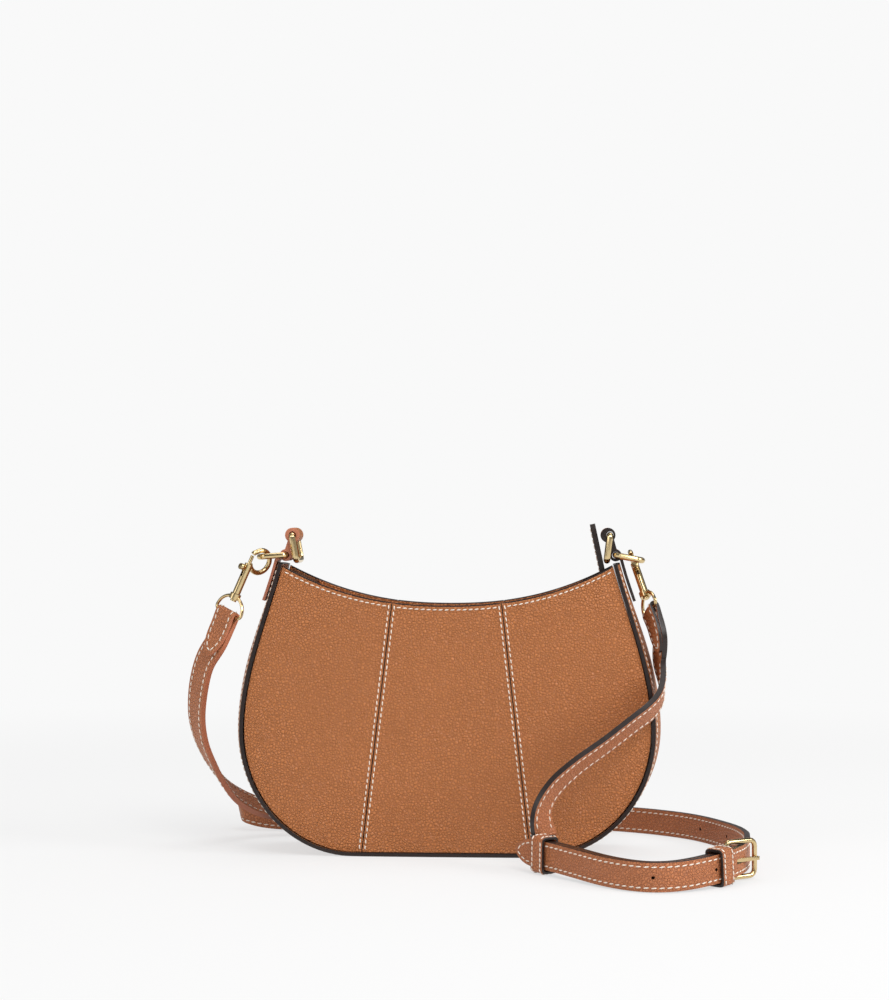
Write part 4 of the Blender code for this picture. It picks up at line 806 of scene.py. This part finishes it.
for node in ("strap_long", "strap_short"):
    dress(node, STRAP_TAN, STRAP_EDGE, rounding=THICK_EDGE, sharp=BENT_ANGLE)
    stitch_rows(
        node,
        along(STRAP_INSET, shortest=0.03),
        pitch=STRAP_PITCH,
        length=STRAP_STITCH,
        broad=STRAP_SKINS,
        sharp=BENT_ANGLE,
    )
for node in ("fixed_keeper", "sliding_keeper"):
    dress(node, STRAP_TAN, EDGE)
    stitch_rows(node, along(KEEPER_INSET), pitch=KEEPER_PITCH)
for node in ("buckle_frame", "buckle_prong"):
    dress(node, GOLD, levels=0, rounding=SMALL_EDGE)

# %% [markdown]
# ## Floor and light
# The bag stands on a plain white table in soft light. The floor and the world give the camera their
# own pale colour, which keeps the background white without flooding the bag with light. Polished metal
# only looks like metal where it mirrors something dark, so mirrored rays see dim bands in the world.

# %% Floor
WHITE = (1, 1, 1, 1)
BLACK = (0, 0, 0, 1)
BACKGROUND = shade(249, 249, 249)
NEAR_GLOW = shade(208, 208, 208)
NEAR_GREY = (0.27, 0.27, 0.27, 1)
BOUNCE_GREY = (0.8, 0.8, 0.8, 1)
FLOOR_REACH = 4.0
GLOW_START, GLOW_END = 0.35, 1.1  # the floor turns into the background between these distances


def make_floor():
    shape = bmesh.new()
    bmesh.ops.create_grid(shape, x_segments=1, y_segments=1, size=FLOOR_REACH)
    mesh = bpy.data.meshes.new("floor")
    shape.to_mesh(mesh)
    shape.free()
    floor = bpy.data.objects.new("floor", mesh)
    bpy.context.collection.objects.link(floor)
    look = Look("floor")
    away = look.node("VectorMath", {"operation": "LENGTH"}, {0: look.place()}, "Value")
    far = look.step(away, GLOW_START, GLOW_END)
    seen = look.node("LightPath", output="Is Camera Ray")
    mirrored = look.node("LightPath", output="Is Glossy Ray")
    eye = look.node("Math", {"operation": "MAXIMUM"}, {0: seen, 1: mirrored})
    floor.data.materials.append(
        look.finish(
            Base_Color=look.mix(eye, BOUNCE_GREY, look.mix(far, NEAR_GREY, BLACK)),
            Roughness=1.0,
            Specular_IOR_Level=0.0,
            Emission_Color=look.mix(eye, BLACK, look.mix(far, NEAR_GLOW, BACKGROUND)),
            Emission_Strength=1.0,
        )
    )


make_floor()

# %% World and lamps
ROOM_LIGHT = 0.45
DIM_LIGHT = 0.03
BAND_SCALE = 0.9
AIM = Vector((0, 0, 0.08))
LAMPS = {  # where it hangs, its size in metres and its power in watts
    "key": ((0.9, -1.7, 1.8), 1.2, 26),
    "fill": ((-1.6, -1.2, 1.1), 1.4, 9),
    "top": ((0.0, 0.4, 2.2), 1.6, 14),
    "side": ((1.5, -0.5, 0.8), 0.8, 12),
}


def backdrop(tree, colour, strength):
    """One plain colour to shine from all round."""
    made = tree.nodes.new("ShaderNodeBackground")
    made.inputs["Color"].default_value = colour
    made.inputs["Strength"].default_value = strength
    return made.outputs[0]


def mixed(tree, share, first, second):
    """From the first backdrop at share 0 to the second at share 1."""
    made = tree.nodes.new("ShaderNodeMixShader")
    for socket, source in zip(made.inputs, (share, first, second)):
        tree.links.new(source, socket)
    return made.outputs[0]


def make_world():
    world = bpy.data.worlds.new("studio")
    world.use_nodes = True
    tree = world.node_tree
    tree.nodes.remove(tree.nodes["Background"])
    rays = tree.nodes.new("ShaderNodeLightPath").outputs
    place = tree.nodes.new("ShaderNodeTexCoord")
    bands = tree.nodes.new("ShaderNodeTexWave")
    bands.bands_direction = "DIAGONAL"
    bands.inputs["Scale"].default_value = BAND_SCALE
    tree.links.new(place.outputs["Generated"], bands.inputs["Vector"])
    banded = tree.nodes.new("ShaderNodeMath")
    banded.operation = "MULTIPLY"
    tree.links.new(bands.outputs["Fac"], banded.inputs[0])
    tree.links.new(rays["Is Glossy Ray"], banded.inputs[1])
    room = mixed(tree, banded.outputs[0], backdrop(tree, WHITE, ROOM_LIGHT), backdrop(tree, WHITE, DIM_LIGHT))
    shown = mixed(tree, rays["Is Camera Ray"], room, backdrop(tree, BACKGROUND, 1.0))
    tree.links.new(shown, tree.nodes["World Output"].inputs["Surface"])
    bpy.context.scene.world = world


def soft_lamp(name, place, size, power):
    """A round lamp that shines on the bag."""
    data = bpy.data.lights.new(name, "AREA")
    data.shape = "DISK"
    data.size = size
    data.energy = power
    lamp = bpy.data.objects.new(name, data)
    lamp.location = place
    lamp.rotation_euler = (AIM - Vector(place)).to_track_quat("-Z", "Y").to_euler()
    bpy.context.collection.objects.link(lamp)
    print("lamp", name, power)


make_world()
for name, (place, size, power) in LAMPS.items():
    soft_lamp(name, place, size, power)
bpy.context.scene.view_settings.view_transform = "Standard"
